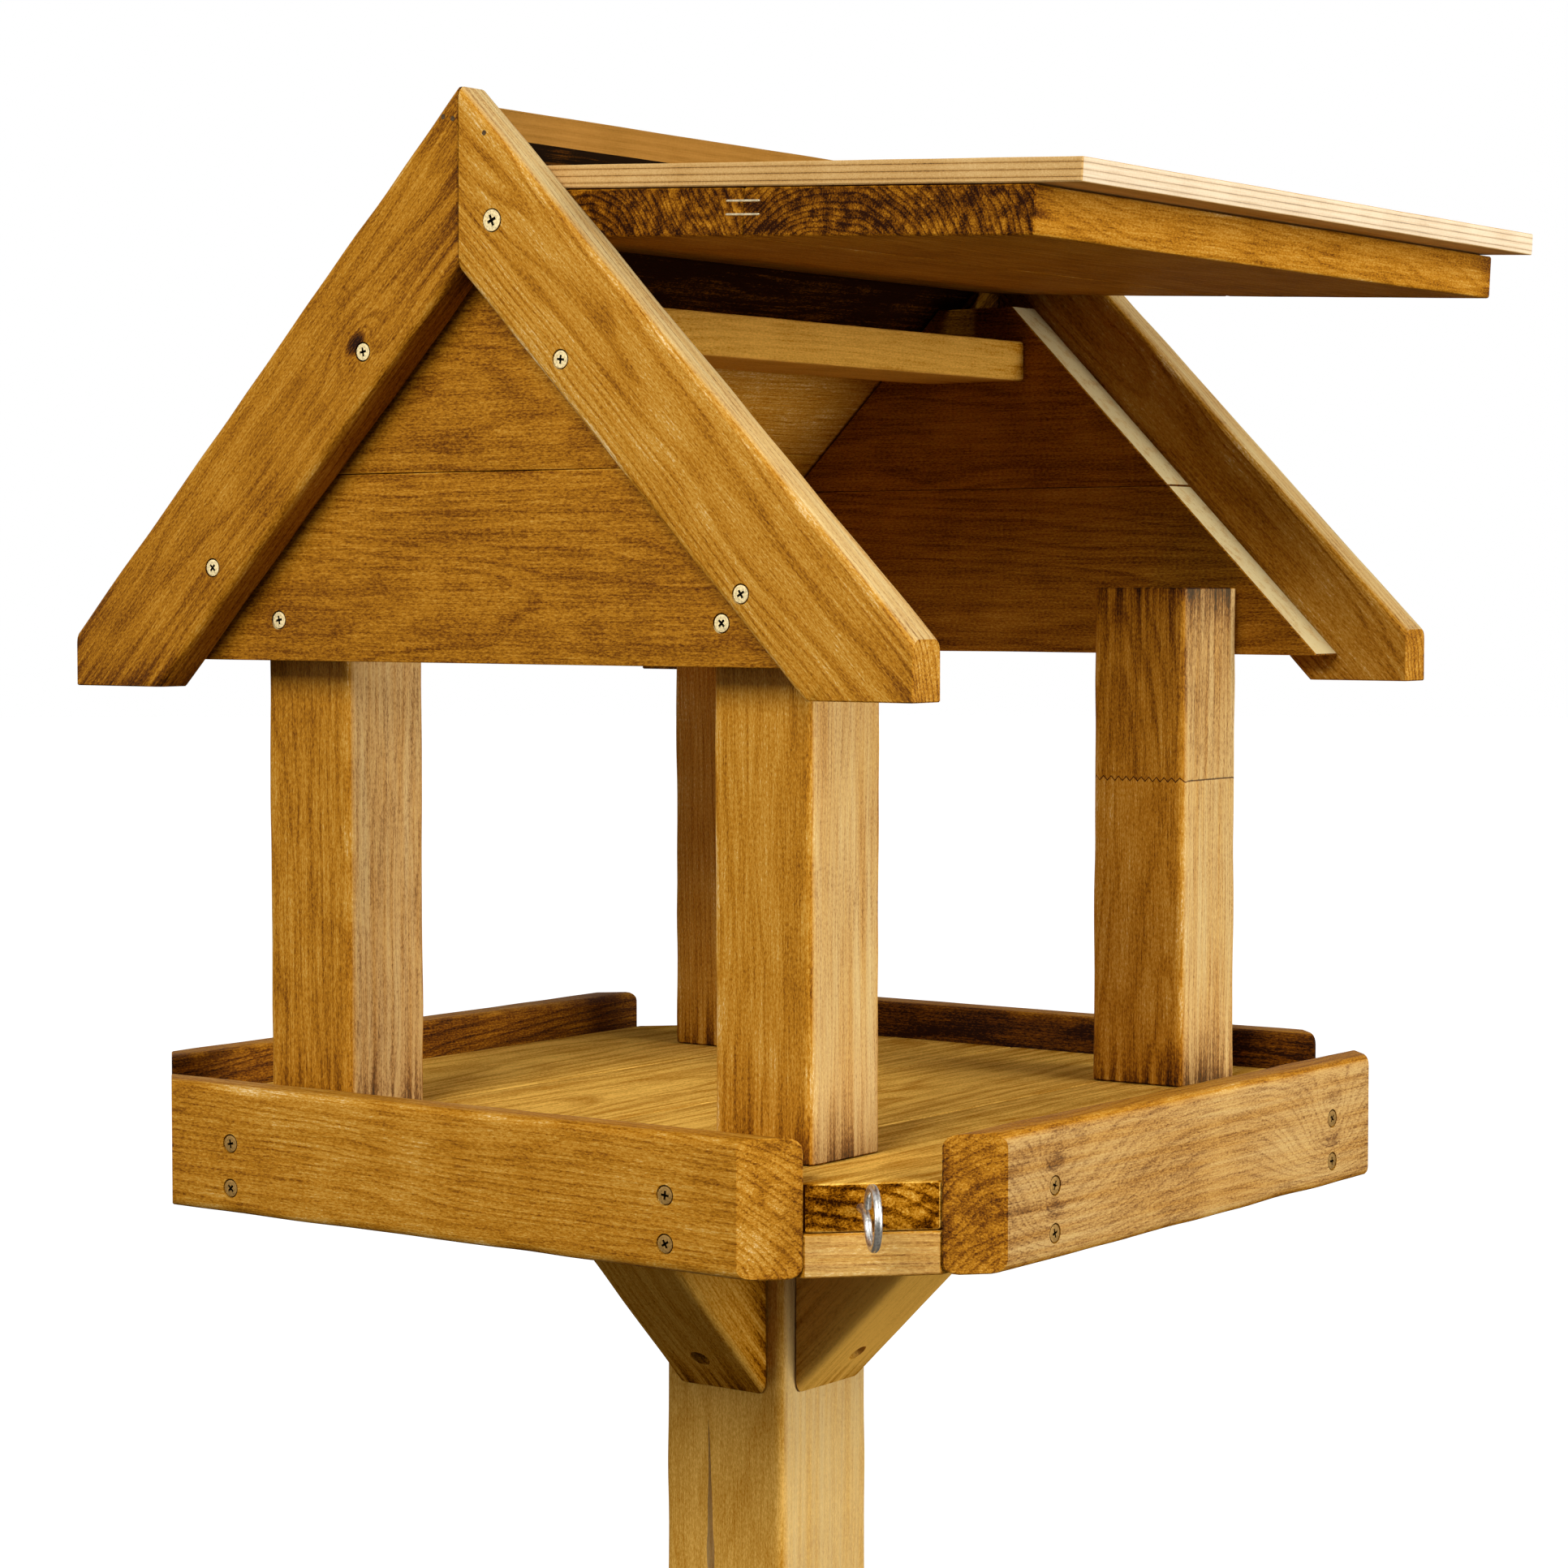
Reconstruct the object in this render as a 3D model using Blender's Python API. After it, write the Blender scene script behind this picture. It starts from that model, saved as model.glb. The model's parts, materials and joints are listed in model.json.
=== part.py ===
"""Timber bird table: tray on a square pole, four corner posts and a gabled roof with a lifting side.

World frame: origin at the centre of the pole's foot, Z up, Y along the ridge, X across the gables.
"""
import bpy
import bmesh
from math import cos, sin, radians, sqrt, pi
from mathutils import Vector

for obj in list(bpy.data.objects):
    bpy.data.objects.remove(obj, do_unlink=True)

GAP = 0.0003                 # clearance left between pieces that touch

# pole and braces
POLE_SIDE = 0.0635
POLE_LENGTH = 1.200          # foot to the underside of the tray floor
STOCK_SIDE = 0.047           # square stock of the corner posts and the braces
BRACE_DROP = 0.105           # floor underside to the brace's lower tip
BRACE_DEPTH = 0.042          # brace thickness square to its slope
BRACE_SCREW_OUT = 0.0155     # screw centre from the pole's face
COUNTERBORE_R = 0.0046
COUNTERBORE_DEPTH = 0.012

# tray
BOARD = 0.018                # thickness of all boards
TRAY_HALF = 0.214            # tray centre to a rim board's outer face
RIM_HEIGHT = 0.052
RIM_LIP = 0.017              # rim above the floor
CORNER_CUT = 0.0715          # rim board end to the tray's square corner, on the outer face
FLOOR_PLANKS = 4
BATTEN_WIDTH = 0.046
POST_OUT_X = 0.139           # post's outer faces from the centre
POST_OUT_Y = 0.1615
POST_HEIGHT = 0.216

# screw eye at the front right corner
EYE_WIRE = 0.0031
EYE_RING_R = 0.0108          # ring centre line
EYE_REACH = 0.0244           # floor edge to the ring's centre
EYE_IN = 0.016
EYE_SIDE_SHIFT = 0.0045      # off the middle of the corner edge

# gables and barge boards, heights counted from the floor's top
BARGE_APEX = 0.408           # where the top edges of the two barge boards would meet
BARGE_TIP = 0.210            # centre to the plumb-cut tip
BARGE_FOOT = 0.1755
BARGE_WIDTH = 0.050
GABLE_HALF = 0.200           # centre to the barge board's outer face
GABLE_FOOT = 0.1865
GABLE_JOINT = 0.261
GABLE_FLAT = 0.344           # gables are cut level here, so the lid's head can swing
RAIL_WIDTH = 0.054
RAIL_TOP = 0.3278

# roof sides, depths are square to the slope from the barge boards' top edges
PLY = 0.009
PLY_DEPTH = 0.0028
CORE_DEPTH = 0.0121
ROOF_SIDE_GAP = 0.0006       # roof side to barge board
PIVOT_ALONG = 0.0494         # along the slope from the barge apex
PIVOT_DEPTH = 0.0251
CORE_TAIL = 0.2315           # pivot to the lower end of the planks
PLY_TAIL = 0.250
PLANK_JOINT = 0.1046
LID_HEAD = 0.017             # pivot to the lid's upper end
LID_DROP = radians(2.9)      # lid's fall from level as it is drawn, open
RIDGE_FACE = 0.0015          # fixed ply's plumb end, left of the centre plane
CORE_RIDGE_SETBACK = 0.009
PIVOT_SHANK_R = 0.00235
PIVOT_HEAD_R = 0.0042
PIVOT_LENGTH = 0.050

FLOOR_TOP = POLE_LENGTH + GAP + BOARD
HALF = 1 / sqrt(2)

STAIN = (0.42, 0.22, 0.06, 1.0)


def wood(name, tint=1.0):
    mat = bpy.data.materials.new(name)
    mat.use_nodes = True
    shader = mat.node_tree.nodes["Principled BSDF"]
    shader.inputs["Base Color"].default_value = (STAIN[0] * tint, STAIN[1] * tint, STAIN[2] * tint, 1.0)
    shader.inputs["Roughness"].default_value = 0.62
    return mat


def metal(name):
    mat = bpy.data.materials.new(name)
    mat.use_nodes = True
    shader = mat.node_tree.nodes["Principled BSDF"]
    shader.inputs["Base Color"].default_value = (0.62, 0.61, 0.57, 1.0)
    shader.inputs["Metallic"].default_value = 1.0
    shader.inputs["Roughness"].default_value = 0.32
    return mat


def solid(name, bm, material, location=(0, 0, 0), parent=None):
    """Turns the finished bmesh into a named object."""
    bmesh.ops.recalc_face_normals(bm, faces=bm.faces)
    mesh = bpy.data.meshes.new(name)
    bm.to_mesh(mesh)
    bm.free()
    mesh.materials.append(material)
    obj = bpy.data.objects.new(name, mesh)
    bpy.context.scene.collection.objects.link(obj)
    obj.location = location
    obj.parent = parent
    return obj


def board(name, outline, along, low, high, material, ease=0.002, grain=None, parent=None, segments=2):
    """Sawn board: outline in the plane square to `along`, run from low to high.

    The outline is (x, y) for Z, (x, z) for Y and (y, z) for X. The object's origin is its middle.
    Only the arrises that run with the grain are eased, or all of them where no grain is given.
    """
    us = [p[0] for p in outline]
    vs = [p[1] for p in outline]
    cu, cv, cw = (min(us) + max(us)) / 2, (min(vs) + max(vs)) / 2, (low + high) / 2

    def point(u, v, w):
        return {"Z": (u, v, w), "Y": (u, w, v), "X": (w, u, v)}[along]

    bm = bmesh.new()
    ends = []
    for w in (low - cw, high - cw):
        ends.append([bm.verts.new(point(u - cu, v - cv, w)) for u, v in outline])
    bm.faces.new(ends[0])
    bm.faces.new(list(reversed(ends[1])))
    count = len(outline)
    for i in range(count):
        j = (i + 1) % count
        bm.faces.new((ends[0][i], ends[1][i], ends[1][j], ends[0][j]))
    bmesh.ops.recalc_face_normals(bm, faces=bm.faces)
    run = Vector(grain).normalized() if grain else None
    arrises = [e for e in bm.edges
               if not run or abs((e.verts[0].co - e.verts[1].co).normalized().dot(run)) > 0.999]
    bmesh.ops.bevel(bm, geom=arrises, offset=ease, segments=segments, profile=0.5,
                    affect="EDGES", clamp_overlap=True)
    return solid(name, bm, material, point(cu, cv, cw), parent)


def rectangle(u0, u1, v0, v1):
    return [(u0, v0), (u1, v0), (u1, v1), (u0, v1)]


def round_bar(profile, segments=24):
    """Solid turned about Z from (radius, z) pairs, closed at both ends."""
    bm = bmesh.new()
    rings = []
    for radius, z in profile:
        rings.append([bm.verts.new((radius * cos(2 * pi * k / segments), radius * sin(2 * pi * k / segments), z))
                      for k in range(segments)])
    for low, high in zip(rings, rings[1:]):
        for k in range(segments):
            j = (k + 1) % segments
            bm.faces.new((low[k], low[j], high[j], high[k]))
    bm.faces.new(rings[0])
    bm.faces.new(list(reversed(rings[-1])))
    return bm


def cutter(name, profile, location, rotation, parent=None):
    obj = solid(name, round_bar(profile), timber, location, parent)
    obj.rotation_euler = rotation
    obj.hide_render = True
    obj.display_type = "WIRE"
    return obj


def bore(target, tool):
    cut = target.modifiers.new(tool.name, "BOOLEAN")
    cut.operation = "DIFFERENCE"
    cut.solver = "EXACT"
    cut.object = tool


def slope(side, along, depth):
    """Point of the roof's section: along the slope from the apex, depth square to it."""
    return (side * HALF * (along - depth), FLOOR_TOP + BARGE_APEX - HALF * (along + depth))


timber = wood("stained_softwood")
light_timber = wood("stained_softwood_light", 1.15)
ply_skin = wood("plywood", 1.3)
zinc = metal("zinc_plated_steel")


# ---- pole and its four braces ----

def make_pole():
    h = POLE_SIDE / 2
    board("pole", rectangle(-h, h, -h, h), "Z", 0, POLE_LENGTH, timber, ease=0.005, grain=(0, 0, 1),
          segments=3)


def make_braces():
    """45 degree struts from the middle of each pole face to the tray floor."""
    w = STOCK_SIDE / 2
    face = POLE_SIDE / 2 + GAP
    top = POLE_LENGTH
    tip = top - BRACE_DROP
    rise = BRACE_DEPTH / HALF
    for name, turn in (("brace_right", 0), ("brace_rear", 90), ("brace_left", 180), ("brace_front", 270)):
        pivot = bpy.data.objects.new(name + "_turn", None)
        bpy.context.scene.collection.objects.link(pivot)
        outline = [(face, tip), (face + BRACE_DROP, top), (face + BRACE_DROP - rise, top), (face, tip + rise)]
        strut = board(name, outline, "Y", -w, w, light_timber, ease=0.0045, grain=(1, 0, 1), parent=pivot)
        x = face + BRACE_SCREW_OUT
        hole = cutter(name + "_counterbore", [(COUNTERBORE_R, 0), (COUNTERBORE_R, 0.04)],
                      (x - COUNTERBORE_DEPTH * HALF, 0, tip + BRACE_SCREW_OUT + COUNTERBORE_DEPTH * HALF),
                      (0, radians(135), 0), parent=pivot)
        bore(strut, hole)
        pivot.rotation_euler = (0, 0, radians(turn))


# ---- tray ----

def make_floor():
    """Planks along Y, the outer two cut off on the diagonal at the tray's corners."""
    edge = TRAY_HALF - BOARD - GAP
    reach = TRAY_HALF - CORNER_CUT + BOARD      # the cut starts here on the floor's edge
    width = 2 * edge / FLOOR_PLANKS
    for i in range(FLOOR_PLANKS):
        x0 = -edge + i * width + (GAP / 2 if i else 0)
        x1 = -edge + (i + 1) * width - (GAP / 2 if i < FLOOR_PLANKS - 1 else 0)
        outline = rectangle(x0, x1, -edge, edge)
        if i == 0:
            outline = [(-reach, -edge), (x1, -edge), (x1, edge), (-reach, edge), (x0, reach), (x0, -reach)]
        if i == FLOOR_PLANKS - 1:
            outline = [(x0, -edge), (reach, -edge), (x1, -reach), (x1, reach), (reach, edge), (x0, edge)]
        plank = board("floor_plank_%d" % (i + 1), outline, "Z", FLOOR_TOP - BOARD, FLOOR_TOP, timber,
                      ease=0.0012, segments=1)
        if i == FLOOR_PLANKS - 1:
            bore(plank, eye_cutter())


def eye_line():
    """Entry point and outward direction of the screw eye, in the middle of the floor's thickness."""
    edge = TRAY_HALF - BOARD - GAP
    reach = TRAY_HALF - CORNER_CUT + BOARD
    mid = (edge + reach) / 2
    out = Vector((HALF, -HALF, 0))
    along_cut = Vector((-HALF, -HALF, 0))
    return Vector((mid, -mid, FLOOR_TOP - BOARD / 2)) + along_cut * EYE_SIDE_SHIFT, out


def eye_cutter():
    entry, out = eye_line()
    tool = cutter("eye_hole", [(EYE_WIRE / 2 + GAP, -EYE_IN - GAP), (EYE_WIRE / 2 + GAP, 0.01)], entry, (0, 0, 0))
    tool.rotation_mode = "QUATERNION"
    tool.rotation_quaternion = out.to_track_quat("Z", "Y")
    return tool


def make_rims():
    """Four edge boards, their ends sawn at 45 degrees so each corner is left open."""
    low, high = FLOOR_TOP + RIM_LIP - RIM_HEIGHT, FLOOR_TOP + RIM_LIP
    out, inner = TRAY_HALF, TRAY_HALF - BOARD
    short = TRAY_HALF - CORNER_CUT
    long = short + BOARD
    shapes = {
        "rim_front": [(-short, -out), (short, -out), (long, -inner), (-long, -inner)],
        "rim_rear": [(-long, inner), (long, inner), (short, out), (-short, out)],
        "rim_left": [(-out, -short), (-inner, -long), (-inner, long), (-out, short)],
        "rim_right": [(inner, -long), (out, -short), (out, short), (inner, long)],
    }
    for name, outline in shapes.items():
        run = (1, 0, 0) if name in ("rim_front", "rim_rear") else (0, 1, 0)
        board(name, outline, "Z", low, high, timber, ease=0.0038, grain=run, segments=3)


def make_corner_battens():
    """Battens under the floor's cut corners, running along the cut."""
    edge = TRAY_HALF - BOARD - GAP
    reach = TRAY_HALF - CORNER_CUT + BOARD
    back = BATTEN_WIDTH / HALF
    high = FLOOR_TOP - BOARD - GAP
    low = FLOOR_TOP + RIM_LIP - RIM_HEIGHT
    for side, sx in (("right", 1), ("left", -1)):
        for end, sy in (("front", -1), ("rear", 1)):
            outline = [(sx * reach, sy * edge), (sx * edge, sy * reach),
                       (sx * edge, sy * (reach - back)), (sx * (reach - back), sy * edge)]
            board("batten_%s_%s" % (end, side), outline, "Z", low, high, light_timber, ease=0.0012, segments=1)


def make_posts():
    low, high = FLOOR_TOP + GAP, FLOOR_TOP + POST_HEIGHT
    for side, sx in (("right", 1), ("left", -1)):
        for end, sy in (("front", -1), ("rear", 1)):
            xs = sorted((sx * POST_OUT_X, sx * (POST_OUT_X - STOCK_SIDE)))
            ys = sorted((sy * POST_OUT_Y, sy * (POST_OUT_Y - STOCK_SIDE)))
            board("post_%s_%s" % (end, side), rectangle(xs[0], xs[1], ys[0], ys[1]), "Z", low, high,
                  timber, ease=0.0045, grain=(0, 0, 1), segments=3)


def make_screw_eye():
    """Bent wire eye driven into the front right corner; the ring stands upright."""
    turns = 30
    entry, out = eye_line()
    up = Vector((0, 0, 1))
    path = [entry - out * EYE_IN, entry, entry + out * 0.006]
    centre = entry + out * EYE_REACH
    first, last = radians(196), radians(196 + 335)
    for k in range(turns + 1):
        a = first + (last - first) * k / turns
        path.append(centre + out * (EYE_RING_R * cos(a)) + up * (EYE_RING_R * sin(a)))
    sweep_wire("screw_eye", path, EYE_WIRE / 2, out.cross(up), entry)


def sweep_wire(name, path, radius, normal, origin, sides=12):
    """Round wire along a path that stays in one plane."""
    bm = bmesh.new()
    rings = []
    for i, p in enumerate(path):
        tangent = (path[min(i + 1, len(path) - 1)] - path[max(i - 1, 0)]).normalized()
        side = normal.cross(tangent).normalized()
        rings.append([bm.verts.new(p - origin + radius * (cos(2 * pi * k / sides) * side
                                                          + sin(2 * pi * k / sides) * normal))
                      for k in range(sides)])
    for low, high in zip(rings, rings[1:]):
        for k in range(sides):
            j = (k + 1) % sides
            face = bm.faces.new((low[k], low[j], high[j], high[k]))
            face.smooth = True
    bm.faces.new(rings[0])
    bm.faces.new(list(reversed(rings[-1])))
    return solid(name, bm, zinc, origin)


# ---- gables ----

def make_gables():
    """Two boards to each gable, edge to edge, with the posts behind and the barge boards in front."""
    rake = CORE_DEPTH + BOARD + 0.0005
    top = slope(1, rake, rake)[1]
    flat = FLOOR_TOP + GABLE_FLAT
    low = FLOOR_TOP + GABLE_FOOT
    joint = FLOOR_TOP + GABLE_JOINT
    outer = GABLE_HALF - BOARD - GAP
    for end, sy in (("front", -1), ("rear", 1)):
        ys = sorted((sy * (POST_OUT_Y + GAP), sy * outer))
        lower = [(-(top - low), low), (top - low, low), (top - joint, joint), (-(top - joint), joint)]
        upper = [(-(top - joint) + GAP, joint + GAP), (top - joint - GAP, joint + GAP),
                 (top - flat, flat), (-(top - flat), flat)]
        board("gable_%s_lower" % end, lower, "Y", ys[0], ys[1], timber, ease=0.001, segments=1)
        board("gable_%s_upper" % end, upper, "Y", ys[0], ys[1], timber, ease=0.001, segments=1)


def make_barges():
    """Barge boards: plumb mitre at the apex, tips cut plumb outside and level below."""
    foot = FLOOR_TOP + BARGE_FOOT
    apex = FLOOR_TOP + BARGE_APEX
    drop = BARGE_WIDTH / HALF
    for end, sy in (("front", -1), ("rear", 1)):
        ys = sorted((sy * GABLE_HALF, sy * (GABLE_HALF - BOARD)))
        for side, sx in (("left", -1), ("right", 1)):
            inner = apex - drop - foot
            outline = [(sx * GAP / 2, apex), (sx * BARGE_TIP, apex - BARGE_TIP), (sx * BARGE_TIP, foot),
                       (sx * inner, foot), (sx * GAP / 2, apex - drop)]
            barge = board("barge_%s_%s" % (end, side), outline, "Y", ys[0], ys[1], timber, ease=0.004,
                          grain=(sx, 0, -1), segments=3)
            if side == "right":
                head = PIVOT_HEAD_R + GAP
                bore_r = PIVOT_SHANK_R + GAP
                x, z = slope(1, PIVOT_ALONG, PIVOT_DEPTH)
                tool = cutter("pivot_hole_%s" % end,
                              [(bore_r, -0.03), (bore_r, -0.0036 - GAP), (head, 0.0002), (head, 0.004)],
                              (x, sy * GABLE_HALF, z), (radians(90) if sy < 0 else radians(-90), 0, 0))
                bore(barge, tool)


def make_ridge_rail():
    """Flat rail under the ridge, from gable to gable."""
    w = RAIL_WIDTH / 2
    y = POST_OUT_Y
    board("ridge_rail", rectangle(-w, w, FLOOR_TOP + RAIL_TOP - BOARD, FLOOR_TOP + RAIL_TOP), "Y", -y, y,
          timber, ease=0.0015)


# ---- roof ----

def make_fixed_side():
    """Left roof side: plank core with a plywood skin that oversails it at the eave and the ridge."""
    y = GABLE_HALF - BOARD - ROOF_SIDE_GAP
    bottom = CORE_DEPTH + BOARD
    joint = PIVOT_ALONG + PLANK_JOINT
    tail = PIVOT_ALONG + CORE_TAIL

    def plumb(depth, x):
        return slope(-1, depth + x / HALF, depth)

    board("fixed_roof_plank_upper", [plumb(CORE_DEPTH, CORE_RIDGE_SETBACK), plumb(bottom, CORE_RIDGE_SETBACK),
                                     slope(-1, joint, bottom), slope(-1, joint, CORE_DEPTH)],
          "Y", -y, y, timber, ease=0.001, segments=1)
    board("fixed_roof_plank_lower", [slope(-1, joint + GAP, CORE_DEPTH), slope(-1, joint + GAP, bottom),
                                     slope(-1, tail, bottom), slope(-1, tail, CORE_DEPTH)],
          "Y", -y, y, timber, ease=0.001, segments=1)
    board("fixed_roof_ply", [plumb(PLY_DEPTH, RIDGE_FACE), plumb(PLY_DEPTH + PLY, RIDGE_FACE),
                             slope(-1, PIVOT_ALONG + PLY_TAIL, PLY_DEPTH + PLY),
                             slope(-1, PIVOT_ALONG + PLY_TAIL, PLY_DEPTH)],
          "Y", -y, y, ply_skin, ease=0.0008, segments=1)


def make_lid():
    """Right roof side, lifting on the two pivot screws; drawn propped open, nearly level."""
    y = GABLE_HALF - BOARD - ROOF_SIDE_GAP
    x, z = slope(1, PIVOT_ALONG, PIVOT_DEPTH)
    hinge = bpy.data.objects.new("lid_hinge", None)
    bpy.context.scene.collection.objects.link(hinge)
    hinge.location = (x, 0, z)
    hinge.rotation_euler = (0, LID_DROP, 0)
    core_top = PIVOT_DEPTH - CORE_DEPTH
    ply_top = PIVOT_DEPTH - PLY_DEPTH
    upper = board("lid_plank_upper", rectangle(-LID_HEAD, PLANK_JOINT, core_top - BOARD, core_top), "Y", -y, y,
                  timber, ease=0.001, parent=hinge, segments=1)
    board("lid_plank_lower", rectangle(PLANK_JOINT + GAP, CORE_TAIL, core_top - BOARD, core_top), "Y", -y, y,
          timber, ease=0.001, parent=hinge, segments=1)
    board("lid_ply", rectangle(-LID_HEAD, PLY_TAIL, ply_top - PLY, ply_top), "Y", -y, y,
          ply_skin, ease=0.0008, parent=hinge, segments=1)
    for end, sy in (("front", -1), ("rear", 1)):
        turn = (radians(90) if sy < 0 else radians(-90), 0, 0)
        pilot = cutter("pilot_%s" % end, [(PIVOT_SHANK_R + GAP, -PIVOT_LENGTH - GAP), (PIVOT_SHANK_R + GAP, 0.01)],
                       (0, sy * GABLE_HALF, 0), turn, parent=hinge)
        bore(upper, pilot)
        screw = solid("pivot_screw_%s" % end,
                      round_bar([(0.0004, -PIVOT_LENGTH), (PIVOT_SHANK_R, -PIVOT_LENGTH + 0.005),
                                 (PIVOT_SHANK_R, -0.0036), (PIVOT_HEAD_R, 0.0), (PIVOT_HEAD_R - 0.0005, 0.0003)]),
                      zinc, (0, sy * GABLE_HALF, 0), hinge)
        screw.rotation_euler = turn
        for face in screw.data.polygons:
            face.use_smooth = len(face.vertices) == 4


make_pole()
make_braces()
make_floor()
make_rims()
make_corner_battens()
make_posts()
make_screw_eye()
make_gables()
make_barges()
make_ridge_rail()
make_fixed_side()
make_lid()
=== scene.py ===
import json
from math import cos, exp, pi, radians, sin

import bmesh
import bpy
from mathutils import Matrix, Vector, noise


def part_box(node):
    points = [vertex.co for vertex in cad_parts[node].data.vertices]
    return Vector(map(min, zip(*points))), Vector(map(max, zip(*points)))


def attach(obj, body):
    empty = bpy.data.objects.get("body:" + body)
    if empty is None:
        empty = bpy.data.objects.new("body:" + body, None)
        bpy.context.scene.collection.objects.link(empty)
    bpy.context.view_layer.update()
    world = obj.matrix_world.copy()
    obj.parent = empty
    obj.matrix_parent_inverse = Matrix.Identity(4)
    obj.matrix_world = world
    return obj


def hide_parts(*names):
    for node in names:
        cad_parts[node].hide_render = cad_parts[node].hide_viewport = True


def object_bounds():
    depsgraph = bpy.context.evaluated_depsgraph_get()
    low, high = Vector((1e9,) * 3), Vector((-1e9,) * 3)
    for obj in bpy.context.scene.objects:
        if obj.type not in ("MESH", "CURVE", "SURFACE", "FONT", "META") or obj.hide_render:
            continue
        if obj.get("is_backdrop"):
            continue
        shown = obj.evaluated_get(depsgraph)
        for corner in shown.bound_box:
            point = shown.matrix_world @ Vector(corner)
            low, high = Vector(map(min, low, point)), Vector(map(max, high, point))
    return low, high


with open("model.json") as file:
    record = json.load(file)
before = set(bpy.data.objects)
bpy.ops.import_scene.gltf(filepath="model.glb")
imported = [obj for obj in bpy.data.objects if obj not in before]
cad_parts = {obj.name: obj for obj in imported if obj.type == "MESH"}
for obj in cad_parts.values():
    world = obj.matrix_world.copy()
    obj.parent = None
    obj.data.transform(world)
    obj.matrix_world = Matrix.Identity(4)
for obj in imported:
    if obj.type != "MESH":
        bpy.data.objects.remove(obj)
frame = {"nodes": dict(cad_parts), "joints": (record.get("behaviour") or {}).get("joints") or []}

cad_low, cad_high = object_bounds()


# ---- studio ----
# A pale floor under the pole and plain white surroundings. Two soft lights stand on the right, a high one
# and a low one that reaches in under the lifted roof. A third hangs high in front, and a weak one fills the
# shadows from the left.

tray_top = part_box("floor_plank_2")[1].z
scene = bpy.context.scene


def add_node(tree, kind, inputs, output=0, **settings):
    """Adds one node. Inputs maps a socket's name or number to a value or to another node's output."""
    new = tree.nodes.new(kind)
    for key, value in settings.items():
        setattr(new, key, value)
    for key, value in inputs.items():
        if isinstance(value, bpy.types.NodeSocket):
            tree.links.new(value, new.inputs[key])
        else:
            new.inputs[key].default_value = value
    return new.outputs[output]


def colour(code):
    """Linear RGBA of an sRGB hex colour."""
    channels = [int(code[i:i + 2], 16) / 255 for i in (0, 2, 4)]
    return [c / 12.92 if c <= 0.04045 else ((c + 0.055) / 1.055) ** 2.4 for c in channels] + [1.0]


def linked(name, data):
    """Makes an object of a mesh, a lamp or a camera and puts it in the scene."""
    made = bpy.data.objects.new(name, data)
    scene.collection.objects.link(made)
    return made


def as_mesh(shape, name):
    """Turns a finished bmesh into a named mesh."""
    mesh = bpy.data.meshes.new(name)
    shape.to_mesh(mesh)
    shape.free()
    return mesh


LIT_HEIGHT = 0.15          # all the lights look at this height above the tray
# each light's place, counted up from the tray, its width and height in metres, and its watts
lights = {"side_light": ((2.6, 0.2, 1.0), (1.5, 1.4), 54),
          "low_light": ((2.4, 0.7, 0.12), (1.2, 0.9), 30),
          "front_light": ((0.5, -2.6, 1.6), (1.5, 1.2), 88),
          "fill_light": ((-2.1, -2.6, 0.2), (1.2, 1.2), 14)}
for name, ((x, y, above), (width, height), watts) in lights.items():
    lamp = bpy.data.lights.new(name, "AREA")
    lamp.shape = "RECTANGLE"
    lamp.size, lamp.size_y = width, height
    lamp.energy = watts
    holder = linked(name, lamp)
    holder.location = (x, y, tray_top + above)
    look = Vector((0, 0, tray_top + LIT_HEIGHT)) - Vector((x, y, tray_top + above))
    holder.rotation_euler = look.to_track_quat("-Z", "Y").to_euler()

WALL_GLOW = 0.10           # what the white walls give to the wood
WALL_SHINE = 0.5           # how bright they look in metal
world = bpy.data.worlds.new("white_studio")
world.use_nodes = True
scene.world = world
sky = world.node_tree
sky.nodes.clear()
# the walls show plain white, and light the object far less than that
seen = add_node(sky, "ShaderNodeLightPath", {}, "Is Camera Ray")
dim = add_node(sky, "ShaderNodeBackground", {"Color": colour("FFFFFF"), "Strength": WALL_GLOW})
bright = add_node(sky, "ShaderNodeBackground", {"Color": colour("FFFFFF"), "Strength": 1.0})
mirrored = add_node(sky, "ShaderNodeLightPath", {}, "Is Glossy Ray")
pale = add_node(sky, "ShaderNodeBackground", {"Color": colour("FFFFFF"), "Strength": WALL_SHINE})
around = add_node(sky, "ShaderNodeMixShader", {0: mirrored, 1: dim, 2: pale})
both = add_node(sky, "ShaderNodeMixShader", {0: seen, 1: around, 2: bright})
world_out = sky.nodes.new("ShaderNodeOutputWorld")
sky.links.new(both, world_out.inputs["Surface"])

FLOOR_RADIUS, FLOOR_GAP = 40, 0.0005
disc = bmesh.new()
bmesh.ops.create_circle(disc, cap_ends=True, segments=96, radius=FLOOR_RADIUS)
studio_floor = linked("studio_floor", as_mesh(disc, "studio_floor"))
studio_floor.location.z = cad_low.z - FLOOR_GAP
# matt paper, lit until it looks almost white, that throws only a little warm grey light back up
paper = bpy.data.materials.new("pale_paper")
paper.use_nodes = True
tree = paper.node_tree
tree.nodes.clear()
seen = add_node(tree, "ShaderNodeLightPath", {}, "Is Camera Ray")
matt = add_node(tree, "ShaderNodeBsdfDiffuse", {"Color": colour("EDEDEB")})
glow = add_node(tree, "ShaderNodeEmission", {"Color": colour("FFFFFF"), "Strength": 1.05})
lit = add_node(tree, "ShaderNodeAddShader", {0: matt, 1: glow})
grey = add_node(tree, "ShaderNodeBsdfDiffuse", {"Color": colour("6E6A64")})
both = add_node(tree, "ShaderNodeMixShader", {0: seen, 1: grey, 2: lit})
paper_out = tree.nodes.new("ShaderNodeOutputMaterial")
tree.links.new(both, paper_out.inputs["Surface"])
studio_floor.data.materials.append(paper)
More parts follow.
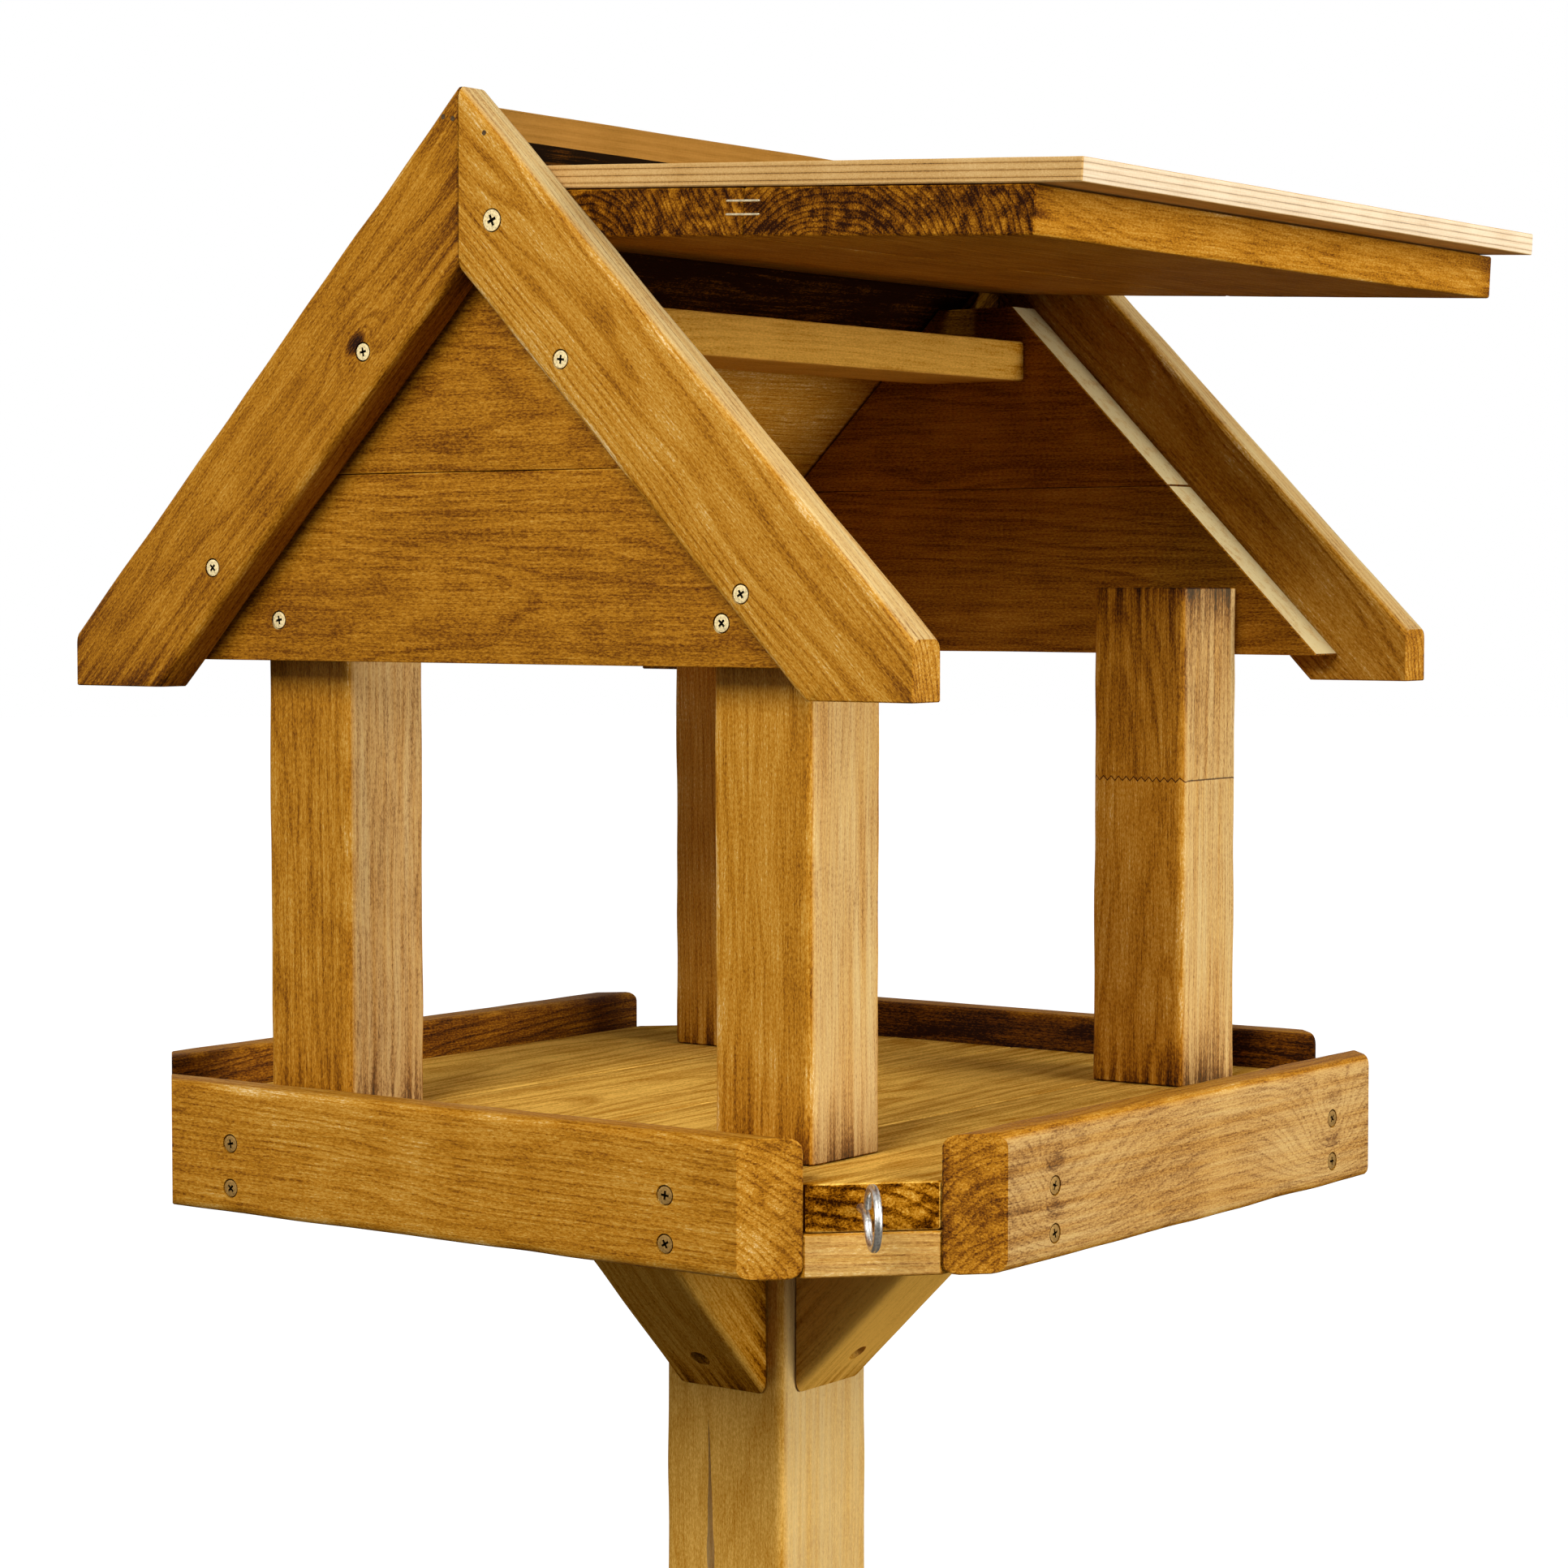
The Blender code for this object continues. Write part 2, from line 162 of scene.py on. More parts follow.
studio_floor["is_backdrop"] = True

# a camera in front and to the right, a little above the tray, looking slightly down
CAMERA_LENS, CAMERA_SENSOR = 87.34, 36
CAMERA_X, CAMERA_Y, CAMERA_ABOVE = 0.9587, -1.3107, 0.2174
CAMERA_DOWN, CAMERA_TURN = 3.003, 35.921
camera = linked("camera", bpy.data.cameras.new("camera"))
camera.data.sensor_width = CAMERA_SENSOR
camera.data.lens = CAMERA_LENS
camera.data.clip_end = 200
camera.location = (CAMERA_X, CAMERA_Y, tray_top + CAMERA_ABOVE)
camera.rotation_euler = (radians(90 - CAMERA_DOWN), 0, radians(CAMERA_TURN))
scene.camera = camera
scene.view_settings.view_transform = "Standard"


# ---- pole ----
# One square length of planed softwood, its four arrises rounded over, sunk with the rest of the table in
# golden brown stain. A drying crack runs down the front face.

# the stain from where the wood drank most to where it is rubbed thin, and the painted sheen on lit sides
STAIN_DARK, STAIN_BROWN, STAIN_GOLD = "240C01", "6E3D03", "AB7014"
STAIN_LIGHT, STAIN_WORN = "C39038", "E6CC98"
PAINTED_SHEEN_COLOUR = "D0BC88"
RING_STEP = 0.007          # spacing of the mesh along the grain
FLAT_STEP = 0.012          # and across its flats
END_SOFTENING = 0.0005     # sawn ends are rubbed down this much
OVERRUN = 0.002            # a board is made this much too long before it is sawn
ARRIS_WANDER = 0.28        # share by which an arris's radius varies along the board
FLAT_HOLLOW = 0.00013      # planed faces dip about this much here and there
END_SOAK = 0.013           # stain soaks about this far in from a sawn end
SHARP_ANGLE = 38           # degrees


def round_section(width, thickness, ease, steps=4):
    """Rounded rectangle as (y, z, share of arris), counter-clockwise, with points along its flats."""
    points = []
    half_y, half_z = width / 2 - ease, thickness / 2 - ease
    corners = [(half_y, half_z, 0), (-half_y, half_z, 90), (-half_y, -half_z, 180), (half_y, -half_z, 270)]
    for index, (y, z, start) in enumerate(corners):
        for step in range(steps + 1):
            turn = radians(start + 90 * step / steps)
            points.append((y + ease * cos(turn), z + ease * sin(turn), sin(pi * step / steps)))
        next_y, next_z, _ = corners[(index + 1) % 4]
        turn = radians(start + 90)
        first = Vector((y + ease * cos(turn), z + ease * sin(turn)))
        last = Vector((next_y + ease * cos(turn), next_z + ease * sin(turn)))
        flats = max(1, round((width, thickness)[index % 2] / FLAT_STEP))
        for flat in range(1, flats):
            spot = first.lerp(last, flat / flats)
            points.append((spot.x, spot.y, 0.0))
    return points


def bridge(shape, rings):
    """Joins each ring of vertices to the next one with a band of faces."""
    for low, high in zip(rings, rings[1:]):
        for k in range(len(low)):
            j = (k + 1) % len(low)
            shape.faces.new((low[k], low[j], high[j], high[k]))


def turned(profile, segments):
    """Closed mesh turned about Z from (radius, height) pairs, listed from the bottom up."""
    shape = bmesh.new()
    rings = []
    for radius, height in profile:
        turns = [2 * pi * k / segments for k in range(segments)]
        rings.append([shape.verts.new((radius * cos(turn), radius * sin(turn), height)) for turn in turns])
    bridge(shape, rings)
    shape.faces.new(list(reversed(rings[0])))
    shape.faces.new(rings[-1])
    return shape


def saw(shape, point, normal):
    """Cuts away what lies past a plane and closes the cut with an end face whose edges are softened."""
    geometry = shape.verts[:] + shape.edges[:] + shape.faces[:]
    cut = bmesh.ops.bisect_plane(shape, geom=geometry, plane_co=point - normal * END_SOFTENING,
                                 plane_no=normal, clear_outer=True, dist=1e-7)
    edges = [item for item in cut["geom_cut"] if isinstance(item, bmesh.types.BMEdge)]
    closed = bmesh.ops.contextual_create(shape, geom=edges)["faces"]
    shape.normal_update()
    if closed[0].normal.dot(normal) < 0:
        closed[0].normal_flip()
    bmesh.ops.inset_region(shape, faces=closed, thickness=END_SOFTENING, depth=END_SOFTENING,
                           use_even_offset=True)


def cut_out(piece, tools):
    """Takes the tools' shapes out of a piece for good."""
    joined = bmesh.new()
    for tool in tools:
        spare = as_mesh(tool, "tool")
        joined.from_mesh(spare)
        bpy.data.meshes.remove(spare)
    bmesh.ops.recalc_face_normals(joined, faces=joined.faces)
    tool_object = linked("tools", as_mesh(joined, "tools"))
    bite = piece.modifiers.new("bite", "BOOLEAN")
    bite.object = tool_object
    bite.solver = "EXACT"
    bpy.context.view_layer.update()
    result = bpy.data.meshes.new_from_object(piece.evaluated_get(bpy.context.evaluated_depsgraph_get()))
    piece.modifiers.clear()
    piece.data = result
    bpy.data.objects.remove(tool_object)


def drilled(at, out, profile):
    """Cutter for a round hole: profile is (radius, height), heights counted outwards from the surface."""
    shape = turned(profile, 20)
    turn = Vector(out).to_track_quat("Z", "Y").to_matrix().to_4x4()
    bmesh.ops.transform(shape, matrix=Matrix.Translation(at) @ turn, verts=shape.verts)
    return shape


def timber(node, grain, face, material, cuts=None, ease=0.0035, tools=(), body="feeder",
           meet=(0, 0), squared=False):
    """Saws the detailed piece that stands for a CAD node: x runs with the grain, y across the face.

    A cut is a point and the direction that is sawn away. Ease is the radius of the arrises, and tools are
    cutters for holes and cracks. Meet closes the joint to the next board on the low and the high side of
    the face. A squared piece's mesh lies along the room's axes, and its material turns the pattern instead.
    """
    grain, face = Vector(grain).normalized(), Vector(face).normalized()
    depth = grain.cross(face)
    axes = (grain, face, depth)
    spans = []
    for axis in axes:
        reach = [vertex.co.dot(axis) for vertex in frame["nodes"][node].data.vertices]
        spans.append((min(reach), max(reach)))
    spans[1] = (spans[1][0] - meet[0], spans[1][1] + meet[1])
    length, width, thickness = (high - low for low, high in spans)
    centre = Vector()
    for (low, high), axis in zip(spans, axes):
        centre += axis * (low + high) / 2
    if cuts is None:
        cuts = [(centre + grain * length / 2, grain), (centre - grain * length / 2, -grain)]
    place = Matrix(axes).transposed().to_4x4()
    place.translation = centre
    local = place.inverted()
    planes = [(local @ Vector(at), (local.to_3x3() @ Vector(out)).normalized()) for at, out in cuts]

    shape = bmesh.new()
    arris_layer = shape.verts.layers.float.new("arris")
    count = max(8, round(length / RING_STEP))
    key = sum(ord(letter) for letter in node)        # makes every board's unevenness its own
    rings = []
    for index in range(count + 1):
        x = -length / 2 - OVERRUN + (length + 2 * OVERRUN) * index / count
        worn = ease * (1 + ARRIS_WANDER * noise.noise(Vector((x * 38, key, 0.5))))
        ring = []
        for y, z, arris in round_section(width, thickness, worn):
            hollow = FLAT_HOLLOW * (1 + noise.noise(Vector((x * 22, y * 35 + key, z * 35))))
            vertex = shape.verts.new((x, y * (1 - 2 * hollow / width), z * (1 - 2 * hollow / thickness)))
            vertex[arris_layer] = arris
            ring.append(vertex)
        rings.append(ring)
    bridge(shape, rings)
    shape.faces.new(list(reversed(rings[0])))
    shape.faces.new(rings[-1])
    bmesh.ops.recalc_face_normals(shape, faces=shape.faces)
    for at, out in planes:
        saw(shape, at, out)
    end_layer = shape.verts.layers.float.new("sawn_end")
    for vertex in shape.verts:
        distance = min(abs((vertex.co - at).dot(out)) for at, out in planes)
        vertex[end_layer] = exp(-distance / END_SOAK)

    if squared:
        bmesh.ops.transform(shape, matrix=place.to_3x3().to_4x4(), verts=shape.verts)
        place = Matrix.Translation(centre)
    piece = linked(node + "_timber", as_mesh(shape, node + "_timber"))
    piece.matrix_world = place
    bpy.context.view_layer.update()
    if tools:
        cut_out(piece, tools)
    piece.data.polygons.foreach_set("use_smooth", [True] * len(piece.data.polygons))
    piece.data.set_sharp_from_angle(angle=radians(SHARP_ANGLE))
    piece.data.materials.clear()
    piece.data.materials.append(material)
    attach(piece, body)
    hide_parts(node)


def stained_softwood(name, tone=0.5, seed=1, heart=(0, -34), slant=(0.02, 0.03), ring_gap=3.2, figure=0.5,
                     streaks=1.0, knots=(), end_tone=0.22, end_dark=0.2, joint=None, painted_sheen=0.0,
                     lit_side=(0, 1, 0), lift=0.03, gloss=0.08, lie=(0, 0, 0), painted_shade=None, palest=STAIN_WORN):
    """Planed pine or spruce under a thin brown stain.

    The eye gets thin dark summer-wood lines that wander and close into arches, fine fibres along the
    grain, blotches where the stain took unevenly, dark thirsty end grain and paler rubbed arrises.
    Tone is how pale the stain is, figure how strong the year rings are and streaks how strong the fibres.
    Heart is where the tree's middle lies from the piece's own middle, across and through it, in mm, slant
    how the piece leans from it in radians, and ring_gap one year's growth in mm. A knot is its place along
    and across, its size in mm and how dark it is. End_tone and end_dark darken the stretch near a sawn end
    and the end grain. Joint is where along the piece a finger joint lies, in mm. The bleach argument is how
    strongly the side turned to sunny, where the lights fall, is painted pale as a painted sheen, and lift how
    much paler the stain is painted there. The damp argument is painted shade: an axis, two places on it in mm
    and how much darker the piece is painted at the second one. Palest is the stain's palest colour, gloss the
    strength of its shine, and lie turns the pattern on a squared piece.
    """
    wood = bpy.data.materials.new(name)
    wood.use_nodes = True
    tree = wood.node_tree
    shader = tree.nodes["Principled BSDF"]
    here = add_node(tree, "ShaderNodeTexCoord", {}, "Object")
    facing = add_node(tree, "ShaderNodeTexCoord", {}, "Normal")
    if any(lie):
        here = add_node(tree, "ShaderNodeMapping", {"Vector": here, "Rotation": lie})
        facing = add_node(tree, "ShaderNodeMapping", {"Vector": facing, "Rotation": lie})
    mm = add_node(tree, "ShaderNodeVectorMath", {0: here, "Scale": 1000.0}, operation="SCALE")
    if joint:
        # two lengths finger-jointed end to end: past the joint the grain starts afresh
        parts = tree.nodes.new("ShaderNodeSeparateXYZ")
        tree.links.new(mm, parts.inputs[0])
        teeth = add_node(tree, "ShaderNodeMath", {0: parts.outputs[1], 1: 1.9}, operation="PINGPONG")
        edge = add_node(tree, "ShaderNodeMath", {0: parts.outputs[0], 1: teeth}, operation="SUBTRACT")
        past = add_node(tree, "ShaderNodeMath", {0: edge, 1: joint}, operation="GREATER_THAN")
        shift = add_node(tree, "ShaderNodeVectorMath", {0: (350.0, 14.0, 23.0), "Scale": past},
                         operation="SCALE")
        mm = add_node(tree, "ShaderNodeVectorMath", {0: mm, 1: shift}, operation="ADD")
    spot = add_node(tree, "ShaderNodeVectorMath", {0: mm, 1: (seed * 211.0, seed * 97.0, seed * 53.0)},
                    operation="ADD")
    # wander of the grain, in bends about 130 mm long and 34 mm wide that shift it by up to 7 mm
    wander_at = add_node(tree, "ShaderNodeVectorMath", {0: spot, 1: (1 / 130, 1 / 34, 1 / 34)},
                         operation="MULTIPLY")
    wander = add_node(tree, "ShaderNodeTexNoise", {"Vector": wander_at, "Scale": 1.0, "Detail": 2.0,
                                                   "Roughness": 0.45}, "Color")
    bent = add_node(tree, "ShaderNodeVectorMath", {0: wander, 1: (0.0, 14.0, 14.0), 2: mm},
                    operation="MULTIPLY_ADD")
    to_heart = (0, -heart[0] - 7, -heart[1] - 7)
    turned_in = add_node(tree, "ShaderNodeMapping", {"Vector": bent, "Location": to_heart,
                                                     "Rotation": (0, slant[0], slant[1])})
    across = add_node(tree, "ShaderNodeVectorMath", {0: turned_in, 1: (0.0, 1.0, 1.0)}, operation="MULTIPLY")
    radius = add_node(tree, "ShaderNodeVectorMath", {0: across}, "Value", operation="LENGTH")
    dark_knots = None
    for x, y, size, dark in knots:
        away = add_node(tree, "ShaderNodeVectorMath", {0: mm, 1: (x, y, 0.0)}, operation="SUBTRACT")
        away = add_node(tree, "ShaderNodeVectorMath", {0: away, 1: (0.55 / size, 1 / size, 0.0)},
                        operation="MULTIPLY")
        reach = add_node(tree, "ShaderNodeVectorMath", {0: away, 1: away}, "Value", operation="DOT_PRODUCT")
        fall = add_node(tree, "ShaderNodeMath", {0: reach, 1: -0.22}, operation="MULTIPLY")
        fall = add_node(tree, "ShaderNodeMath", {0: fall}, operation="EXPONENT")
        radius = add_node(tree, "ShaderNodeMath", {0: fall, 1: size * 1.7, 2: radius},
                          operation="MULTIPLY_ADD")
        core = add_node(tree, "ShaderNodeMapRange", {"Value": reach, 1: 0.15, 2: 1.3, 3: dark, 4: 0.0},
                        interpolation_type="SMOOTHSTEP")
        dark_knots = core if dark_knots is None else add_node(
            tree, "ShaderNodeMath", {0: dark_knots, 1: core}, operation="MAXIMUM")
    # ring widths differ from year to year
    years = add_node(tree, "ShaderNodeMath", {0: radius, 1: 0.11}, operation="MULTIPLY")
    uneven = add_node(tree, "ShaderNodeTexNoise", {"W": years, "Scale": 1.0, "Detail": 1.0}, "Fac",
                      noise_dimensions="1D")
    radius = add_node(tree, "ShaderNodeMath", {0: uneven, 1: 6.0, 2: radius}, operation="MULTIPLY_ADD")
    year = add_node(tree, "ShaderNodeMath", {0: radius, 1: ring_gap}, operation="DIVIDE")
    season = add_node(tree, "ShaderNodeMath", {0: year}, operation="FRACT")
    summer = tree.nodes.new("ShaderNodeValToRGB")
    tree.links.new(season, summer.inputs[0])
    stops = summer.color_ramp.elements
    stops[0].color = (0, 0, 0, 1)
    stops[1].color = (0, 0, 0, 1)
    for at, level in ((0.50, 0.06), (0.80, 1.0), (0.90, 0.8)):
        stops.new(at).color = (level, level, level, 1)
    summer = summer.outputs[0]
    # fibres 26 mm long and 0.8 mm wide, streaks 120 mm by 4.5 mm, blotches 30 mm across and fuzz 1.6 mm by
    # 0.6 mm; real fibres are finer, and are drawn this coarse so that they show
    fibre_at = add_node(tree, "ShaderNodeVectorMath", {0: spot, 1: (1 / 26, 1 / 0.8, 1 / 0.8)},
                        operation="MULTIPLY")
    fibre = add_node(tree, "ShaderNodeTexNoise", {"Vector": fibre_at, "Scale": 1.0, "Detail": 3.0,
                                                  "Roughness": 0.6}, "Fac")
    streak_at = add_node(tree, "ShaderNodeVectorMath", {0: spot, 1: (1 / 120, 1 / 4.5, 1 / 4.5)},
                         operation="MULTIPLY")
    streak = add_node(tree, "ShaderNodeTexNoise", {"Vector": streak_at, "Scale": 1.0, "Detail": 3.0,
                                                   "Roughness": 0.55}, "Fac")
    blotch = add_node(tree, "ShaderNodeTexNoise", {"Vector": spot, "Scale": 1 / 30, "Detail": 2.0}, "Fac")
    fuzz_at = add_node(tree, "ShaderNodeVectorMath", {0: spot, 1: (1 / 1.6, 1 / 0.6, 1 / 0.6)},
                       operation="MULTIPLY")
    fuzz = add_node(tree, "ShaderNodeTexNoise", {"Vector": fuzz_at, "Scale": 1.0, "Detail": 2.0,
                                                 "Roughness": 0.7}, "Fac")
    # where end grain shows, how near a sawn end is, and where an arris is rubbed
    with_grain = add_node(tree, "ShaderNodeVectorMath", {0: facing, 1: (1.0, 0.0, 0.0)}, "Value",
                          operation="DOT_PRODUCT")
    with_grain = add_node(tree, "ShaderNodeMath", {0: with_grain}, operation="ABSOLUTE")
    end_grain = add_node(tree, "ShaderNodeMapRange", {"Value": with_grain, 1: 0.58, 2: 0.85, 3: 0.0, 4: 1.0})
    near_end = add_node(tree, "ShaderNodeAttribute", {}, "Fac", attribute_name="sawn_end")
    soak = add_node(tree, "ShaderNodeMapRange", {"Value": streak, 1: 0.38, 2: 0.62, 3: 2.1, 4: 0.2})
    near_end = add_node(tree, "ShaderNodeMath", {0: near_end, 1: soak}, operation="MULTIPLY")
    arris = add_node(tree, "ShaderNodeAttribute", {}, "Fac", attribute_name="arris")
    rubbed = add_node(tree, "ShaderNodeMapRange", {"Value": blotch, 1: 0.42, 2: 0.62, 3: 0.0, 4: 1.0})
    rubbed = add_node(tree, "ShaderNodeMath", {0: rubbed, 1: arris}, operation="MULTIPLY")
    line = add_node(tree, "ShaderNodeMapRange", {"Value": streak, 1: 0.3, 2: 0.65, 3: 0.35, 4: 1.0})
    line = add_node(tree, "ShaderNodeMath", {0: line, 1: summer}, operation="MULTIPLY")

    end_rings = add_node(tree, "ShaderNodeMath", {0: end_grain, 1: summer}, operation="MULTIPLY")
    # how pale the stain is at each spot: the tone, with the patterns' own averages taken off it first
    level = tone + 0.09 * figure - 0.405 * streaks - 0.565
    for source, share in ((end_rings, -0.09), (line, -0.45 * figure), (fibre, 0.55 * streaks),
                          (streak, 0.26 * streaks), (blotch, 0.28), (fuzz, 0.85), (near_end, -end_tone),
                          (end_grain, -end_dark), (rubbed, 0.16)):
        level = add_node(tree, "ShaderNodeMath", {0: source, 1: share, 2: level}, operation="MULTIPLY_ADD")
    if dark_knots is not None:
        level = add_node(tree, "ShaderNodeMath", {0: level, 1: dark_knots}, operation="SUBTRACT")
    if joint:
        seam = add_node(tree, "ShaderNodeMath", {0: edge, 1: joint, 2: 0.35}, operation="COMPARE")
        level = add_node(tree, "ShaderNodeMath", {0: seam, 1: -0.42, 2: level}, operation="MULTIPLY_ADD")
        level = add_node(tree, "ShaderNodeMath", {0: past, 1: -0.09, 2: level}, operation="MULTIPLY_ADD")
    # painted shade: the piece is painted darker between two places along one of its own axes
    if painted_shade:
        axis, shade_from, shade_to, amount = painted_shade
        sides = tree.nodes.new("ShaderNodeSeparateXYZ")
        tree.links.new(mm, sides.inputs[0])
        shade_amount = add_node(tree, "ShaderNodeMapRange", {"Value": sides.outputs[axis], 1: shade_from, 2: shade_to,
                                                       3: 0.0, 4: amount}, interpolation_type="SMOOTHSTEP")
        level = add_node(tree, "ShaderNodeMath", {0: level, 1: shade_amount}, operation="SUBTRACT")
    # painted sheen: faces turned to the given lit side, where the lights fall, are painted paler and mixed
    # towards a pale colour, patchily and most where the stain is already pale
    if painted_sheen:
        side = add_node(tree, "ShaderNodeVectorMath", {0: facing, 1: lit_side}, "Value", operation="DOT_PRODUCT")
        side = add_node(tree, "ShaderNodeMapRange", {"Value": side, 1: 0.75, 2: 0.97, 3: 0.0, 4: painted_sheen})
        level = add_node(tree, "ShaderNodeMath", {0: side, 1: lift, 2: level}, operation="MULTIPLY_ADD")
        patchy = add_node(tree, "ShaderNodeMapRange", {"Value": streak, 1: 0.34, 2: 0.66, 3: 0.6, 4: 1.35})
        side = add_node(tree, "ShaderNodeMath", {0: side, 1: patchy}, operation="MULTIPLY")
        sheen_by_tone = add_node(tree, "ShaderNodeMapRange", {"Value": level, 1: 0.22, 2: 0.55, 3: 0.25, 4: 1.05})
        side = add_node(tree, "ShaderNodeMath", {0: side, 1: sheen_by_tone}, operation="MULTIPLY")
    stain = tree.nodes.new("ShaderNodeValToRGB")
    tree.links.new(level, stain.inputs[0])
    stops = stain.color_ramp.elements
    stops[0].color = colour(STAIN_DARK)
    stops[1].color = colour(palest)
    for at, code in ((0.25, STAIN_BROWN), (0.50, STAIN_GOLD), (0.72, STAIN_LIGHT)):
        stops.new(at).color = colour(code)
    finish = stain.outputs[0]
    # the pale colour of the painted sheen
    if painted_sheen:
        finish = add_node(tree, "ShaderNodeMix", {0: side, 6: finish, 7: colour(PAINTED_SHEEN_COLOUR)}, 2,
                          data_type="RGBA")
    tree.links.new(finish, shader.inputs["Base Color"])
    shader.inputs["IOR"].default_value = 1.45
    shader.inputs["Specular IOR Level"].default_value = gloss
    dull = add_node(tree, "ShaderNodeMapRange", {"Value": fibre, 1: 0.3, 2: 0.7, 3: 0.62, 4: 0.48})
    tree.links.new(dull, shader.inputs["Roughness"])
    relief = add_node(tree, "ShaderNodeMath", {0: summer, 1: 0.35, 2: fibre}, operation="MULTIPLY_ADD")
    relief = add_node(tree, "ShaderNodeMath", {0: fuzz, 1: 0.6, 2: relief}, operation="MULTIPLY_ADD")
    bump = add_node(tree, "ShaderNodeBump", {"Strength": 0.7, "Distance": 0.00035, "Height": relief})
    tree.links.new(bump, shader.inputs["Normal"])
    return wood


pole_low, pole_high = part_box("pole")
CRACK_DOWN, CRACK_LENGTH = 0.118, 0.25       # its start below the pole's top, and its length
CRACK_X = -0.007                             # from the middle of the face
CRACK_HALF_WIDTH, CRACK_DEPTH = 0.0024, 0.0100


def drying_crack(face_y, top):
    """Thin wedge that opens and closes along the grain, standing in the pole's front face."""
    shape = bmesh.new()
    steps = 40
    rows = []
    for step in range(steps + 1):
        share = step / steps
        z = top - CRACK_LENGTH * share
        ragged = 1 + 0.6 * noise.noise(Vector((0, 3, z * 60)))
        half = CRACK_HALF_WIDTH * sin(pi * share) ** 0.7 * ragged + 0.00004
        middle = CRACK_X + 0.0016 * noise.noise(Vector((0, 7, z * 18))) + 0.006 * share * share
        bottom = CRACK_DEPTH * sin(pi * share) + 0.0006
        rows.append([shape.verts.new((middle - half, face_y - 0.001, z)),
                     shape.verts.new((middle + half, face_y - 0.001, z)),
                     shape.verts.new((middle, face_y + bottom, z))])
    bridge(shape, rows)
    shape.faces.new(rows[0])
    shape.faces.new(list(reversed(rows[-1])))
    return shape


# the face turned to the lights on the right is painted paler, a painted sheen
timber("pole", (0, 0, 1), (1, 0, 0),
       stained_softwood("stained_pine_pole", tone=0.71, seed=3, heart=(26, 70), ring_gap=3.0, figure=0.25,
                        streaks=0.8, painted_sheen=0.4, palest="E2B058"), ease=0.0048,
       tools=[drying_crack(pole_low.y, pole_high.z - CRACK_DOWN)])


# ---- braces ----
# Four short struts of the same square stock as the posts, sawn at 45 degrees at both ends and held to
# the pole by one countersunk screw each, deep in a drilled hole near the lower tip.

JOINT_GAP = 0.0003         # boards that touch stand this far apart
BRACE_SCREW_UP = 0.0155 / cos(radians(45))   # along the slope, 15.5 mm out from the pole
COUNTERBORE = [(0.0046, -0.012), (0.0046, 0.003)]
BRACE_LIT_AND_SHADED_TONES = {"right": 1.0, "rear": 1.0, "left": 1.0, "front": 0.62}      # the front one is painted darker as painted shade under the tray, the other three paler as painted light

brace_screws = []
braces = {"right": (1, 0, 0), "rear": (0, 1, 0), "left": (-1, 0, 0), "front": (0, -1, 0)}
for index, (side, out) in enumerate(braces.items()):
    out = Vector(out)
    low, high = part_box("brace_" + side)
    wide = Vector((0, 0, 1)).cross(out)
    foot = out * (pole_high.x + JOINT_GAP)
    foot.z = low.z
    slope_out = (out - Vector((0, 0, 1))).normalized()
    slope_up = (out + Vector((0, 0, 1))).normalized()
    screw_at = foot + slope_up * BRACE_SCREW_UP
    brace_screws.append(("brace_" + side, screw_at, slope_out))
    cuts = [(foot, -out), (Vector((0, 0, high.z)), Vector((0, 0, 1)))]
    timber("brace_" + side, slope_up, wide,
           stained_softwood("stained_pine_brace_" + side, tone=BRACE_LIT_AND_SHADED_TONES[side], seed=11 + index,
                            heart=(20, 28), ring_gap=2.6, figure=0.35, gloss=0.0, palest="E0AA4A"),
           cuts=cuts, ease=0.004,
           tools=[drilled(screw_at, slope_out, COUNTERBORE)])


# ---- tray floor ----
# Four planks side by side, their grain running front to back. The outer two are cut off on the diagonal
# where the tray's corners are left open for rain to run out.

rim_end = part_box("rim_front")[1].x
CLOSED = JOINT_GAP / 2     # each of two boards grows this much to close the joint between them
for index in range(1, 5):
    name = "floor_plank_%d" % index
    low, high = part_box(name)
    cuts = [((0, low.y, 0), (0, -1, 0)), ((0, high.y, 0), (0, 1, 0))]
    if index in (1, 4):
        side = -1 if index == 1 else 1
        edge = max(abs(low.x), abs(high.x))
        for end in (-1, 1):
            cuts.append(((side * edge, end * rim_end, 0), (side, end, 0)))
    timber(name, (0, 1, 0), (1, 0, 0),
           stained_softwood("stained_pine_" + name, tone=0.82, seed=20 + index, heart=(8 * index - 20, 46),
                            ring_gap=4.5, figure=0.6, streaks=1.7, end_tone=0.12, end_dark=0.9, gloss=0.0,
                            palest="F0BE58"), cuts=cuts, ease=0.0009,
           meet=(CLOSED * (index > 1), CLOSED * (index < 4)))


# ---- corner battens ----
# Short battens nailed under the floor's cut corners, from rim to rim; the rims are screwed to them.

for end, y_sign in (("front", -1), ("rear", 1)):
    for side, x_sign in (("right", 1), ("left", -1)):
        name = "batten_%s_%s" % (end, side)
        low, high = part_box(name)
        corner = (high.x if x_sign > 0 else low.x, high.y if y_sign > 0 else low.y, 0)
        cuts = [(corner, (x_sign, 0, 0)), (corner, (0, y_sign, 0))]
        grain = Vector((x_sign, -y_sign, 0)).normalized()
        face = Vector((x_sign, y_sign, 0)).normalized()
        lie = Matrix((grain, face, grain.cross(face))).to_euler()
        # the outer face is painted paler as a painted sheen
        timber(name, grain, face,
               stained_softwood("stained_pine_" + name, tone=0.60, seed=31 + x_sign + 3 * y_sign,
                                heart=(30, 26), ring_gap=3.4, figure=0.5, end_tone=0.0, lie=lie,
                                painted_sheen=0.2), cuts=cuts,
               ease=0.0014, squared=True)


